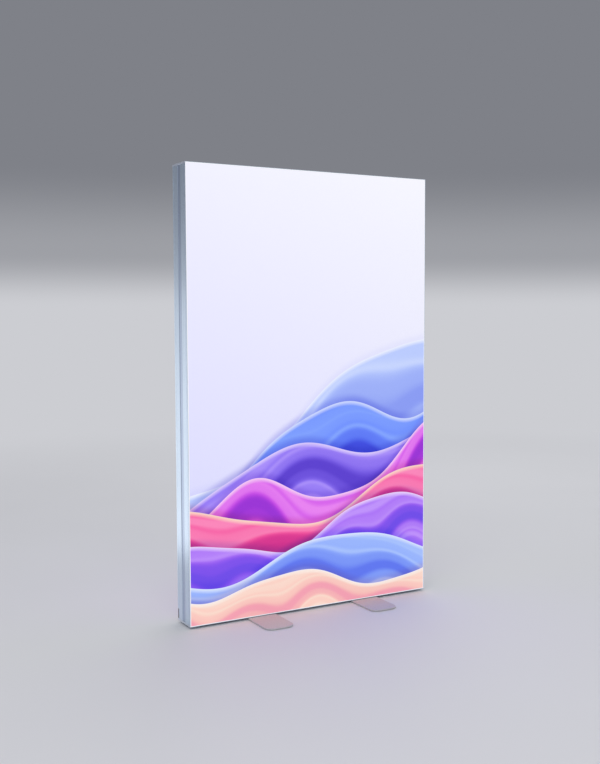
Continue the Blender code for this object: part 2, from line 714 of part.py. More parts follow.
def build_leads(base):
    lead_base = RIB_TOP + FIT + LEAD_RADIUS
    block = (SLIDER_FOOT + BAR_BASE + CONNECTOR_TOP) / 2
    bar_end = BAR_BOTTOM - FIT
    driver_left = DRIVER_CENTRE - DRIVER_LENGTH / 2 - GLAND_LENGTH - FIT
    driver_right = DRIVER_CENTRE + DRIVER_LENGTH / 2 + GLAND_LENGTH + FIT
    wall = -HALF_WIDTH
    bend = LEAD_BEND
    hug = wall + RIB_TOP + 2 * LEAD_RADIUS
    low = BAR_BOTTOM - 2 * bend

    # From the driver's rear left gland round to the back of the inlet
    inlet_back = FLOOR_Y + SOCKET_FLANGE - SOCKET_BODY - FIT
    inlet_x = wall + SOCKET_CENTRE
    mains = [
        (driver_left, GLAND_OFFSET, GLAND_Z),
        (driver_left - bend, GLAND_OFFSET, GLAND_Z),
        ((driver_left + inlet_x) / 2, GLAND_OFFSET - bend, GLAND_Z),
        (inlet_x + bend, GLAND_OFFSET - bend / 2, HOUSING_MIDDLE_Z),
        (inlet_x, inlet_back - bend, HOUSING_MIDDLE_Z),
        (inlet_x, inlet_back, HOUSING_MIDDLE_Z),
    ]
    lead_object("mains_lead", mains, LEAD_POINT_COUNT, base)

    # From the driver's front left gland up the left upright
    left = [
        (driver_left, -GLAND_OFFSET, GLAND_Z),
        (driver_left - bend, -GLAND_OFFSET, GLAND_Z),
        (hug + 2 * bend, -GLAND_OFFSET, GLAND_Z),
        (hug, -GLAND_OFFSET, GLAND_Z + 2 * bend),
        (hug, -GLAND_OFFSET / 2, low),
        (wall + block, CONNECTOR_OFFSET, bar_end - LEAD_RADIUS * 2),
        (wall + block, CONNECTOR_OFFSET, bar_end),
    ]
    lead_object("left_led_lead", left, LEAD_POINT_COUNT, base)

    # Along the bottom rail's rib to the right upright, whose bar faces the other way about
    rib = TRACK_MOUTH / 2 + LEAD_RADIUS
    right = [
        (driver_right, GLAND_OFFSET, GLAND_Z),
        (driver_right + bend, GLAND_OFFSET, GLAND_Z),
        (driver_right + 4 * bend, rib, lead_base),
        (driver_right + LEAD_RUN, rib, lead_base),
        (0, rib, lead_base),
        (FOOT_OFFSET, rib, lead_base),
        (-hug - LEAD_RUN, rib, lead_base),
        (-hug - 2 * bend, rib, lead_base + bend / 2),
        (-hug, rib, GLAND_Z + 2 * bend),
        (-hug, rib, low),
        (-wall - block, -CONNECTOR_OFFSET, bar_end - LEAD_RADIUS * 2),
        (-wall - block, -CONNECTOR_OFFSET, bar_end),
    ]
    lead_object("right_led_lead", right, 2 * LEAD_POINT_COUNT, base)

    # From bar to bar, past the crossbar's side
    gap = CROSSBAR_PLATE / 2 + BAR_CLEARANCE - FIT
    past = -CROSSBAR_DEPTH / 2 - 2 * LEAD_RADIUS
    away = RIB_TOP + 3 * LEAD_RADIUS
    climb = [
        (block, CONNECTOR_OFFSET, -gap),
        (block, CONNECTOR_OFFSET, LEAD_RADIUS - gap),
        (block, CONNECTOR_OFFSET, 2 * LEAD_RADIUS - gap),
        (away, past / 2, 4 * LEAD_RADIUS - gap),
        (away, past, -gap / 2),
    ]
    link = climb + [(away, past, 0)] + [(x, y, -z) for x, y, z in reversed(climb)]
    for side, (x, y, _), rotation in sides():
        lead_object(f"{side}_link_lead", link, LINK_POINT_COUNT, base, (x, y, MIDDLE), rotation)


def housing_mesh():
    """A moulded cup in the notch, open to the rear, with holes in its floor for inlet and switch."""
    notch_left = HOUSING_INSET
    inner_left = WEB + FIT
    front = FLOOR_Y - HOUSING_FLOOR
    step = HALF_DEPTH - NOTCH_DEPTH + FIT
    rear = HALF_DEPTH
    outline = [
        (inner_left, front),
        (HOUSING_WIDTH, front),
        (HOUSING_WIDTH, rear),
        (notch_left, rear),
        (notch_left, step),
        (inner_left, step),
    ]
    bottom = UPRIGHT_BOTTOM
    top = NOTCH_TOP - FIT
    body = prism(outline, bottom, top)
    recess_low = (inner_left + HOUSING_WALL, FLOOR_Y, bottom + HOUSING_WALL)
    recess_high = (HOUSING_WIDTH - HOUSING_WALL, rear + OVERRUN, top - HOUSING_WALL)
    half_width = SOCKET_WIDTH / 2 + FIT
    half_height = SOCKET_HEIGHT / 2 + FIT
    socket_low = (SOCKET_CENTRE - half_width, front - OVERRUN, HOUSING_MIDDLE_Z - half_height)
    socket_high = (SOCKET_CENTRE + half_width, FLOOR_Y + OVERRUN, HOUSING_MIDDLE_Z + half_height)
    switch_half = SWITCH_WIDTH / 2 + SLIDE_FIT
    switch_rise = SWITCH_RADIUS + SLIDE_FIT
    switch_low = (SWITCH_CENTRE - switch_half, front - OVERRUN, HOUSING_MIDDLE_Z - switch_rise)
    switch_high = (SWITCH_CENTRE + switch_half, FLOOR_Y + OVERRUN, HOUSING_MIDDLE_Z + switch_rise)
    holes = boxes((socket_low, socket_high), (switch_low, switch_high))
    return cut(body, boxes((recess_low, recess_high)), holes)


def socket_outline(width, height, corner):
    """An appliance inlet's outline: two corners are cut."""
    half_width = width / 2
    half_height = height / 2
    return [
        (-half_width, -half_height),
        (half_width, -half_height),
        (half_width, half_height - corner),
        (half_width - corner, half_height),
        (corner - half_width, half_height),
        (-half_width, half_height - corner),
    ]


def socket_mesh():
    """The inlet: a flange on the housing's floor, a body through it, a mouth and three pins."""
    front = FLOOR_Y + FIT
    rear = front + SOCKET_FLANGE
    body_end = FLOOR_Y + SOCKET_FLANGE - SOCKET_BODY
    half_width = SOCKET_WIDTH / 2
    half_height = SOCKET_HEIGHT / 2
    rim = SOCKET_FLANGE_RIM
    body = boxes(((-half_width, body_end, -half_height), (half_width, rear - SOCKET_FLANGE / 2, half_height)))
    flange_low = (-half_width - rim, front, -half_height - rim)
    flange_high = (half_width + rim, rear, half_height + rim)
    flange = boxes((flange_low, flange_high))
    mouth_floor = rear - SOCKET_MOUTH_DEPTH
    outline = socket_outline(SOCKET_MOUTH_WIDTH, SOCKET_MOUTH_HEIGHT, SOCKET_CORNER)
    mouth = prism(outline, mouth_floor, rear + OVERRUN, "XZY")
    pin_end = mouth_floor + PIN_LENGTH
    pins = []
    for x, rise in ((-PIN_PITCH, -PIN_RISE), (0, PIN_RISE), (PIN_PITCH, -PIN_RISE)):
        low = (x - PIN_WIDTH / 2, mouth_floor - PIN_WIDTH / 2, rise - PIN_HEIGHT / 2)
        high = (x + PIN_WIDTH / 2, pin_end, rise + PIN_HEIGHT / 2)
        pins.append(boxes((low, high)))
    return joined(cut(joined(body, flange), mouth), *pins)


def rocker_mesh():
    """A rocker of round back and shallow V face, with a stud at each side on its axis."""
    half = SWITCH_WIDTH / 2
    tip = math.sqrt(SWITCH_RADIUS**2 - SWITCH_TIP_RISE**2)
    sweep_start = math.atan2(SWITCH_TIP_RISE, tip)
    sweep = math.pi + 2 * sweep_start
    outline = [(SWITCH_VALLEY, 0)]
    for i in range(SWITCH_ARC_STEPS + 1):
        turn = sweep_start - sweep * i / SWITCH_ARC_STEPS
        outline.append((SWITCH_RADIUS * math.sin(turn), SWITCH_RADIUS * math.cos(turn)))
    body = prism(outline, -half, half, "YZX")
    along_x = Matrix.Rotation(math.pi / 2, 3, "Y")
    reach = half + SWITCH_STUD_REACH
    studs = cylinder(SWITCH_STUD, -reach, reach, ROUND_SIDES // 2)
    return joined(body, moved(studs, (0, 0, 0), along_x))


def switch_body_mesh():
    """The switch's case behind the housing's floor, open to the rear, with a bearing in each side."""
    inner_half = SWITCH_WIDTH / 2 + SLIDE_FIT
    inner_rise = SWITCH_RADIUS + SLIDE_FIT
    outer_half = inner_half + SWITCH_WALL
    outer_rise = inner_rise + SWITCH_WALL
    rear = SWITCH_AXIS_DEPTH - HOUSING_FLOOR - FIT
    floor = -SWITCH_RADIUS - SLIDE_FIT
    front = floor - SWITCH_WALL
    body = boxes(((-outer_half, front, -outer_rise), (outer_half, rear, outer_rise)))
    well = boxes(((-inner_half, floor, -inner_rise), (inner_half, rear + OVERRUN, inner_rise)))
    slot = SWITCH_STUD + FIT
    reach = outer_half + OVERRUN
    bearings = boxes(((-reach, -slot, -slot), (reach, rear + OVERRUN, slot)))
    return cut(body, well, bearings)


def build_inlet(base):
    corner = (-HALF_WIDTH, 0, 0)
    place("inlet_housing", housing_mesh(), BLACK_PLASTIC, base, corner)
    socket_place = (SOCKET_CENTRE - HALF_WIDTH, 0, HOUSING_MIDDLE_Z)
    place("inlet_socket", socket_mesh(), BLACK_PLASTIC, base, socket_place)
    axis = (SWITCH_CENTRE - HALF_WIDTH, SWITCH_AXIS_Y, HOUSING_MIDDLE_Z)
    place("switch_body", switch_body_mesh(), BLACK_PLASTIC, base, axis)
    place("switch_rocker", rocker_mesh(), RED_PLASTIC, base, axis, (SWITCH_TILT, 0, 0))


def foot_mesh():
    plate = prism(rounded_rectangle(FOOT_WIDTH, FOOT_LENGTH, FOOT_CORNER), FOOT_BOTTOM, FOOT_TOP)
    hole = BOLT_RADIUS + SLIDE_FIT
    mouth = BOLT_HEAD_RADIUS + SLIDE_FIT
    cone_top = FOOT_BOTTOM + BOLT_HEAD_SINK + mouth - hole
    below = FOOT_BOTTOM - OVERRUN
    cutter = [(0, below), (mouth, below), (mouth, FOOT_BOTTOM + BOLT_HEAD_SINK), (hole, cone_top)]
    cutter += [(hole, FOOT_TOP + OVERRUN), (0, FOOT_TOP + OVERRUN)]
    return cut(plate, lathe(cutter))


def bolt_mesh():
    """A countersunk bolt that passes foot, washer and rail and ends in the nut plate."""
    bottom = FOOT_BOTTOM + BOLT_HEAD_SINK
    cone_top = bottom + BOLT_HEAD_RADIUS - BOLT_RADIUS
    top = BOX_BOTTOM + SLIDER_TOP
    shape = [(0, bottom), (BOLT_HEAD_RADIUS, bottom), (BOLT_RADIUS, cone_top), (BOLT_RADIUS, top), (0, top)]
    key = cylinder(BOLT_KEY_RADIUS, bottom - OVERRUN, bottom + BOLT_KEY_DEPTH, KEY_SIDES)
    return smooth(cut(lathe(shape), key))


def ring_mesh(outer, inner, start, end):
    return cut(cylinder(outer, start, end), cylinder(inner, start - OVERRUN, end + OVERRUN))


def nut_plate_mesh():
    half_length = NUT_PLATE_LENGTH / 2
    half_width = SLIDER_WIDTH / 2
    plate = boxes(((-half_length, -half_width, SLIDER_FOOT), (half_length, half_width, SLIDER_TOP)))
    return cut(plate, cylinder(BOLT_RADIUS + FIT, SLIDER_FOOT - OVERRUN, SLIDER_TOP + OVERRUN))


def build_feet(base):
    foot = foot_mesh()
    bolt = bolt_mesh()
    washer = ring_mesh(WASHER_RADIUS, BOLT_RADIUS + SLIDE_FIT, FOOT_TOP + FIT, FOOT_TOP + FIT + WASHER)
    nut_plate = nut_plate_mesh()
    pad = prism(rounded_rectangle(PAD_WIDTH, PAD_LENGTH, PAD_CORNER, ARC_STEPS // 2), 0, PAD)
    pad_y = FOOT_LENGTH / 2 - PAD_INSET
    for side, x in (("left", -FOOT_OFFSET), ("right", FOOT_OFFSET)):
        pivot = empty(f"{side}_foot_pivot", (x, 0, 0))
        plate = place(f"{side}_foot", foot, FEET_STEEL, pivot)
        bevel(plate, FOOT_EDGE, 2)
        place(f"{side}_foot_front_pad", pad, RUBBER, pivot, (0, -pad_y, 0))
        place(f"{side}_foot_rear_pad", pad, RUBBER, pivot, (0, pad_y, 0))
        place(f"{side}_foot_bolt", bolt, ZINC_STEEL, None, (x, 0, 0))
        place(f"{side}_foot_washer", washer, WHITE_PLASTIC, None, (x, 0, 0))
        place(f"{side}_foot_nut_plate", nut_plate, ZINC_STEEL, base, (x, 0, 0))


def gasket_boxes(relief):
    """Name and corners, in X and Z, of the four gaskets of a graphic; relief is the inlet's corner."""
    near = SKIN + FIT
    far = near + GASKET
    end = HALF_WIDTH - CAP - 2 * FIT
    left_start = NOTCH_TOP + FIT if relief else UPRIGHT_BOTTOM
    bottom_start = HOUSING_WIDTH + FIT - HALF_WIDTH if relief else -end
    return (
        ("left", (near - HALF_WIDTH, left_start), (far - HALF_WIDTH, UPRIGHT_TOP)),
        ("right", (HALF_WIDTH - far, UPRIGHT_BOTTOM), (HALF_WIDTH - near, UPRIGHT_TOP)),
        ("top", (-end, BOX_HEIGHT - far), (end, BOX_HEIGHT - near)),
        ("bottom", (bottom_start, near), (end, far)),
    )


def build_graphic(name, facing, relief, base):
    """A stretched graphic and its gaskets, drawn outward from mid-depth; facing is -1 for the front."""
    slide = empty(f"{name}_graphic_slide", (0, 0, 0), base)
    side = HALF_WIDTH - SKIN - FIT
    low = SKIN + FIT
    high = BOX_HEIGHT - SKIN - FIT
    outline = [(side, low), (side, high), (-side, high)]
    if relief:
        inner = HOUSING_WIDTH + FIT - HALF_WIDTH
        outline += [(-side, NOTCH_TOP + FIT), (inner, NOTCH_TOP + FIT), (inner, low)]
    else:
        outline.append((-side, low))
    back = HALF_DEPTH - FABRIC
    start, end = sorted((facing * back, facing * HALF_DEPTH))
    place(f"{name}_graphic", prism(outline, start, end, "XZY"), LIT_TEXTILE, slide)
    near, far = sorted((facing * (back - FIT), facing * (back - FIT - GASKET_DEPTH)))
    for edge, (x_low, z_low), (x_high, z_high) in gasket_boxes(relief):
        strip = boxes(((x_low, near, z_low), (x_high, far, z_high)))
        place(f"{name}_{edge}_gasket", strip, SILICONE, slide)


def main():
    clear_scene()
    base = empty("box_base", (0, 0, BOX_BOTTOM))
    build_profiles(base)
    build_corners(base)
    build_crossbar(base)
    build_lighting(base)
    build_driver(base)
    build_leads(base)
    build_inlet(base)
    build_feet(base)
    build_graphic("front", -1, False, base)
    build_graphic("rear", 1, True, base)


main()
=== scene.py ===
"""Textile light box for exhibitions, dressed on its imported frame.

Two printed knits are stretched over a frame of anodised aluminium and lit from the box's two sides.
X runs across the graphics, Y from the front graphic to the rear one and Z up, all in metres.
"""

import math

import bmesh
import bpy
from bpy.props import FloatProperty, FloatVectorProperty, IntProperty, PointerProperty
from mathutils import Matrix, Vector


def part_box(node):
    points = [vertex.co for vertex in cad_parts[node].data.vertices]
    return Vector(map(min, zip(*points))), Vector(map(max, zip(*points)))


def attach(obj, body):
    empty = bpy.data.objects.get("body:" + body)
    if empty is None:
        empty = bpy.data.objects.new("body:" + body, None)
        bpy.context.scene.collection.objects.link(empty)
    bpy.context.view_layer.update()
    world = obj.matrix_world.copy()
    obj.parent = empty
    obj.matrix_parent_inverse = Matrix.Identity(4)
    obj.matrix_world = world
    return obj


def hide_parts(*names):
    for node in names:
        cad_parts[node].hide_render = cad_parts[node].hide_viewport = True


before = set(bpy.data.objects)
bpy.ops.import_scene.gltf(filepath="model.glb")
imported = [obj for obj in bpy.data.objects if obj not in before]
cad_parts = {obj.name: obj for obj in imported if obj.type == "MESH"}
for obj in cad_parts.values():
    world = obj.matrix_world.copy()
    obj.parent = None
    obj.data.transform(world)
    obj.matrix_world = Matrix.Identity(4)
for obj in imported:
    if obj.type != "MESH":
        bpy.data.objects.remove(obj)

bl_info = {
    "name": "Textile Light Box",
    "version": (1, 0, 0),
    "blender": (4, 5, 0),
    "location": "3D View > Sidebar > Light Box",
    "description": "Dresses a free-standing, edge-lit textile light box",
    "category": "Add Mesh",
}

MM = 0.001
TURN = 2 * math.pi

# Each side of the box, and the direction along X that leads inward from it
SIDES = (("left", 1), ("right", -1))

# Printed waves, from the rearmost to the front one. Heights and lengths are in metres.
# crest, slope across, swing, swing's length, shift, fold's width, shade cast, then rim, light, main, deep
WAVES = (
    (0.92, 0.46, 0.105, 1.45, 0.3, 0.30, 0.10, "#f4f7ff", "#d3dfff", "#afc3ff", "#8a9cf4"),
    (0.80, 0.34, 0.120, 1.20, 1.5, 0.21, 0.35, "#dfe8ff", "#8fb2ff", "#5f80ff", "#3a49e0"),
    (0.70, 0.27, 0.095, 1.35, 2.5, 0.17, 0.40, "#e9d9ff", "#b79cff", "#8264f2", "#5a3bd0"),
    (0.58, 0.24, 0.110, 1.05, 3.6, 0.19, 0.40, "#ffd9f7", "#f08bf4", "#cf45ea", "#9a2bd6"),
    (0.49, 0.10, 0.085, 1.25, 4.9, 0.15, 0.40, "#ffe9c9", "#ff8fc0", "#f8479b", "#d42a8c"),
    (0.38, 0.15, 0.070, 0.95, 5.6, 0.13, 0.40, "#f3dcff", "#c79bff", "#a05cf6", "#6f49ea"),
    (0.26, 0.02, 0.080, 1.30, 0.9, 0.14, 0.40, "#e8f2ff", "#b6d0ff", "#86a6ff", "#5f78f2"),
    (0.14, -0.04, 0.050, 0.90, 2.2, 0.10, 0.40, "#fffaf2", "#ffe6d6", "#ffcbbd", "#f7a3b4"),
)

# Settings that all colours share, and all powers
COLOUR = {"subtype": "COLOR", "min": 0, "max": 1}
POWER = {"unit": "POWER", "min": 0}


def linear(text):
    """The linear colour of an sRGB hex value."""
    parts = [int(text[i : i + 2], 16) / 255 for i in (1, 3, 5)]
    return tuple(c / 12.92 if c <= 0.04045 else ((c + 0.055) / 1.055) ** 2.4 for c in parts)


# Settings


class LightBoxTextile(bpy.types.PropertyGroup):
    """The two printed textiles."""

    fold_radius: FloatProperty(
        name="Fold radius",
        description="Radius of the fold where the textile turns into its slot",
        default=1.0 * MM,
        min=0.2 * MM,
        unit="LENGTH",
    )
    hem: FloatProperty(
        name="White hem",
        description="Unprinted margin along every edge of the face",
        default=2.5 * MM,
        min=0,
        unit="LENGTH",
    )
    wale: FloatProperty(
        name="Wale spacing",
        description="Spacing of the knit's columns of stitches",
        default=0.8 * MM,
        min=0.2 * MM,
        unit="LENGTH",
    )
    glow: FloatProperty(
        name="Glow",
        description="Light that the lit textile gives out, as a share of its printed colour",
        default=0.69,
        min=0,
        max=4,
    )
    ground_low: FloatVectorProperty(
        name="Ground, low left",
        description="Printed ground at the lower left corner",
        default=linear("#d7d6ff"),
        **COLOUR,
    )
    ground_high: FloatVectorProperty(
        name="Ground, high right",
        description="Printed ground at the upper right corner",
        default=linear("#f8f8ff"),
        **COLOUR,
    )


class LightBoxMetal(bpy.types.PropertyGroup):
    """Frame, feet and fittings."""

    anodised: FloatVectorProperty(
        name="Anodised aluminium",
        description="Colour of the profiles",
        default=linear("#cddcf5"),
        **COLOUR,
    )
    feet: FloatVectorProperty(
        name="Feet",
        description="Colour of the feet's powder coat",
        default=linear("#c5c3c5"),
        **COLOUR,
    )
    die_line: FloatProperty(
        name="Die line spacing",
        description="Spacing of the fine lines that the press leaves along a profile",
        default=0.8 * MM,
        min=0.1 * MM,
        unit="LENGTH",
    )
    edge_rounding: FloatProperty(
        name="Edge rounding",
        description="How round the metal's edges look",
        default=0.35 * MM,
        min=0,
        unit="LENGTH",
    )


class LightBoxLighting(bpy.types.PropertyGroup):
    """LED bars, driver and inlet."""

    chip_glow: FloatProperty(
        name="Chip glow",
        description="Brightness of each light-emitting chip",
        default=2.5,
        min=0,
    )
    lens_glow: FloatProperty(
        name="Lens glow",
        description="Brightness of the light caught in each lens",
        default=0.2,
        min=0,
    )
    lenses: IntProperty(
        name="Lenses per bar",
        description="How many lenses each LED bar has, as on the frame",
        default=8,
        min=1,
    )
    rocker: FloatVectorProperty(
        name="Rocker",
        description="Colour of the switch's rocker",
        default=linear("#c4201c"),
        **COLOUR,
    )


class LightBoxStage(bpy.types.PropertyGroup):
    """Floor, backdrop, lamps and camera."""

    floor: FloatVectorProperty(
        name="Floor",
        description="Colour of the studio floor",
        default=linear("#dcdde0"),
        **COLOUR,
    )
    horizon: FloatVectorProperty(
        name="Horizon",
        description="Colour of the backdrop where it meets the floor",
        default=linear("#cccdd2"),
        **COLOUR,
    )
    backdrop: FloatVectorProperty(
        name="Backdrop",
        description="Colour of the backdrop above the horizon",
        default=linear("#7f8188"),
        **COLOUR,
    )
    soft_light: FloatProperty(
        name="Soft light",
        description="Strength of the even light from all round",
        default=0.65,
        min=0,
    )
    key_power: FloatProperty(
        name="Key lamp",
        description="Power of the large lamp at the front left",
        default=84.0,
        **POWER,
    )
    fill_power: FloatProperty(
        name="Fill lamp",
        description="Power of the large lamp behind and to the right",
        default=60.0,
        **POWER,
    )
    card_power: FloatProperty(
        name="Side card",
        description="Power of the small card of light that the left profile mirrors",
        default=1.03,
        **POWER,
    )


# Nodes and materials


def in_use(value):
    """The output that a node's settings leave in use; anything but a node comes back as it is."""
    if isinstance(value, bpy.types.Node):
        return next(output for output in value.outputs if output.enabled)
    return value


def add_node(tree, kind, links=None, stops=(), **settings):
    """Adds a node; links gives an input, by name or number, a value, a socket or another node."""
    node = tree.nodes.new("ShaderNode" + kind)
    for name, value in settings.items():
        setattr(node, name, value)
    for key, value in (links or {}).items():
        socket = node.inputs[key]
        source = in_use(value)
        if isinstance(source, bpy.types.NodeSocket):
            tree.links.new(source, socket)
        elif socket.type == "RGBA":
            socket.default_value = (*source[:3], 1)
        else:
            socket.default_value = source
    for i, (place, colour) in enumerate(stops):
        elements = node.color_ramp.elements
        # A new ramp has two stops, which become the first and the last one
        if 0 < i < len(stops) - 1:
            element = elements.new(place)
        else:
            element = elements[0 if i == 0 else -1]
        element.position = place
        element.color = (*colour[:3], 1)
    return node


def feed(node, key, source):
    """Links a node or a socket to another node's input."""
    node.id_data.links.new(in_use(source), node.inputs[key])


def new_material(name, **values):
    """A material with its Principled shader; underscores in the values' names stand for spaces."""
    made = bpy.data.materials.new(name)
    made.use_nodes = True
    tree = made.node_tree
    tree.nodes.clear()
    links = {key.replace("_", " "): value for key, value in values.items()}
    shader = add_node(tree, "BsdfPrincipled", links)
    add_node(tree, "OutputMaterial", {0: shader})
    place = add_node(tree, "TexCoord").outputs["Object"]
    return made, tree, shader, place


def tone(shader, colour, amount, spread):
    """Base colour that wanders by a share, amount, where spread goes from zero to one."""
    darker = [c * (1 - amount) for c in colour]
    lighter = [min(1, c * (1 + amount)) for c in colour]
    links = {"Factor": spread, 6: darker, 7: lighter}
    feed(shader, "Base Color", add_node(shader.id_data, "Mix", links, data_type="RGBA"))


def wander(shader, socket, low, high, spread):
    """A shader's value that wanders between low and high."""
    feed(shader, socket, add_node(shader.id_data, "MapRange", {0: spread, 3: low, 4: high}))


def relief(shader, height, depth, rounding=0.0):
    """Bump of a given depth in metres, over edges that look rounded."""
    tree = shader.id_data
    links = {"Strength": 1.0, "Distance": depth, "Height": height}
    if rounding:
        links["Normal"] = add_node(tree, "Bevel", {"Radius": rounding}, samples=4)
    feed(shader, "Normal", add_node(tree, "Bump", links))


def worn(shader, reach, colour, share):
    """Rubs a shader's colour towards another one, by a share, within a reach of each edge."""
    tree = shader.id_data
    # Cosines of the bend at an edge: wear starts at about 6 degrees and is full from about 26
    slight_bend = 0.995
    full_bend = 0.9
    rounded = add_node(tree, "Bevel", {"Radius": reach}, samples=4)
    flat = add_node(tree, "NewGeometry").outputs["Normal"]
    level = add_node(tree, "VectorMath", {0: rounded, 1: flat}, operation="DOT_PRODUCT")
    rub = add_node(tree, "MapRange", {0: level, 1: slight_bend, 2: full_bend, 3: 0.0, 4: share})
    links = {"Factor": rub, 6: shader.inputs["Base Color"].links[0].from_socket, 7: colour}
    feed(shader, "Base Color", add_node(tree, "Mix", links, data_type="RGBA"))


def grained(name, colour, amount, roughness, depth, rounding, grains, **values):
    """A grained material; grains gives the noise's width and detail in tone, roughness and relief."""
    made, tree, shader, place = new_material(name, **values)
    noises = {}
    for width, detail in dict.fromkeys(grains):
        links = {"Vector": place, "Scale": 1 / width, "Detail": detail}
        noises[width, detail] = add_node(tree, "TexNoise", links)
    in_tone, in_roughness, in_relief = (noises[grain] for grain in grains)
    tone(shader, colour, amount, in_tone)
    wander(shader, "Roughness", *roughness, in_roughness)
    relief(shader, in_relief, depth, rounding)
    return made


def drawn_out(tree, place, across, along, axis):
    """Noise whose grain is across metres wide and along metres long, drawn out along one axis."""
    scales = [1 / across] * 3
    scales["XYZ".index(axis)] = 1 / along
    stretched = add_node(tree, "VectorMath", {0: place, 1: scales}, operation="MULTIPLY")
    return add_node(tree, "TexNoise", {"Vector": stretched, "Scale": 1.0, "Detail": 2.0})


def anodised_aluminium(axis):
    """Extruded aluminium, satin anodised: fine lines along the length, painted shade in the groove, a
    painted highlight on the rear land, bright worn edges.
    """
    metal = bpy.context.scene.light_box_metal
    made, tree, shader, place = new_material(f"Anodised aluminium, extruded along {axis}", Metallic=1.0)
    # Real die lines are a few hundredths of a millimetre wide; these are coarser, to show from near
    lines = drawn_out(tree, place, metal.die_line, 900 * MM, axis)
    broad = drawn_out(tree, place, 6 * MM, 1100 * MM, axis)
    cloud = add_node(tree, "TexNoise", {"Vector": place, "Scale": 1 / (160 * MM), "Detail": 3.0})
    both = add_node(tree, "Math", {0: broad, 1: cloud}, operation="ADD")
    streak = add_node(tree, "MapRange", {0: both, 1: 0.7, 2: 1.3})
    # Painted shade darkens the groove at mid-depth, and a painted highlight brightens the land at the rear
    groove = 16 * MM
    land = 59 * MM
    rear_highlight_share = 0.32
    streak_share = 0.22
    back = add_node(tree, "SeparateXYZ", {0: place}).outputs[1]
    off_middle = add_node(tree, "Math", {0: back}, operation="ABSOLUTE")
    # Painted shade: this mask is zero in the groove, so the tone drops there
    flat = add_node(tree, "MapRange", {0: off_middle, 1: groove - 3 * MM, 2: groove + 5 * MM})
    # Painted highlight: this mask is one on the land at the rear only, so the tone rises there
    edge = add_node(tree, "MapRange", {0: back, 1: land, 2: land + MM})
    shares = add_node(tree, "Math", {0: edge, 1: rear_highlight_share, 2: flat}, operation="MULTIPLY_ADD")
    level = add_node(tree, "Math", {0: streak, 1: streak_share, 2: shares}, operation="MULTIPLY_ADD")
    spread = add_node(tree, "MapRange", {0: level, 1: 0.0, 2: 1 + rear_highlight_share + streak_share})
    tone(shader, metal.anodised, 0.23, spread)
    wander(shader, "Roughness", 0.24, 0.32, lines)
    height = add_node(tree, "Math", {0: broad, 1: 3.0, 2: lines}, operation="MULTIPLY_ADD")
    relief(shader, height, 0.012 * MM, metal.edge_rounding)
    worn(shader, 0.9 * MM, linear("#f1f4fa"), 0.75)
    return made


def cut_aluminium():
    """Aluminium sawn, tumbled and anodised: the end caps, paler than the profiles and with no lines."""
    rounding = bpy.context.scene.light_box_metal.edge_rounding
    cloud = (40 * MM, 2.0)
    grain = (1.2 * MM, 4.0)
    name = "Anodised aluminium, tumbled"
    grains = (cloud, grain, grain)
    return grained(name, linear("#e6ecf8"), 0.06, (0.3, 0.42), 0.02 * MM, rounding, grains, Metallic=1.0)


def silver_powder_coat():
    """Steel plate with a silver powder coat: orange peel, flakes that glint, and a warm grey cast."""
    metal = bpy.context.scene.light_box_metal
    made, tree, shader, place = new_material("Silver powder coat on steel", Metallic=0.25)
    peel = add_node(tree, "TexNoise", {"Vector": place, "Scale": 1 / (1.6 * MM), "Detail": 2.0})
    # Flakes are drawn 0.7 mm wide, where real ones are under 0.1 mm
    flakes = add_node(tree, "TexVoronoi", {"Vector": place, "Scale": 1 / (0.7 * MM)})
    single = add_node(tree, "SeparateColor", {0: flakes.outputs["Color"]})
    tone(shader, metal.feet, 0.10, single.outputs[0])
    wander(shader, "Roughness", 0.36, 0.5, single.outputs[1])
    relief(shader, peel, 0.03 * MM, 0.6 * MM)
    worn(shader, 0.8 * MM, linear("#e4e3e2"), 0.6)
    return made


def zinc_plate():
    """Zinc plated steel: bright, faintly blue, with soft patches from the bath."""
    patches = ((7 * MM, 4.0),) * 3
    name = "Zinc plated steel"
    return grained(name, linear("#c9ced3"), 0.12, (0.22, 0.4), 0.02 * MM, 0.25 * MM, patches, Metallic=1.0)


def white_powder_coat():
    """Metal with a white powder coat: half matt, with a fine orange peel."""
    cloud = (60 * MM, 2.0)
    peel = (1.4 * MM, 2.0)
    grains = (cloud, peel, peel)
    name = "White powder coat"
    return grained(name, linear("#e4e5e6"), 0.03, (0.38, 0.48), 0.03 * MM, 0.4 * MM, grains, IOR=1.5)


def moulded_plastic(name, text, ior, roughness, grain_size):
    """Injection moulded plastic with the fine grain that the mould's etching leaves."""
    cloud = (18 * MM, 2.0)
    grain = (grain_size, 3.0)
    grains = (cloud, grain, grain)
    return grained(name, linear(text), 0.08, roughness, grain_size / 20, 0.3 * MM, grains, IOR=ior)


def rocker_polycarbonate():
    """Red polycarbonate, polished: deep colour with a sharp shine."""
    colour = bpy.context.scene.light_box_lighting.rocker
    flow = ((6 * MM, 2.0),) * 3
    name = "Red polycarbonate, polished"
    values = {"IOR": 1.585, "Coat_Weight": 0.3}
    return grained(name, colour, 0.12, (0.16, 0.26), 0.02 * MM, 0.4 * MM, flow, **values)


def silicone_strip():
    """Extruded silicone: milky, half matt, with drag lines and a dusting that dulls it in patches."""
    dust = (5 * MM, 4.0)
    drag = (0.9 * MM, 2.0)
    grains = (dust, dust, drag)
    name = "White silicone, extruded"
    return grained(name, linear("#e2e4e6"), 0.05, (0.45, 0.65), 0.04 * MM, 0.0, grains, IOR=1.41)


def pvc_sheath():
    """White PVC sheath, extruded over its cores: smooth, with a faint lay that swells and sinks."""
    lay = ((8 * MM, 2.0),) * 3
    name = "White PVC sheath, extruded"
    return grained(name, linear("#dfdfdc"), 0.03, (0.32, 0.42), 0.15 * MM, 0.0, lay, IOR=1.53)


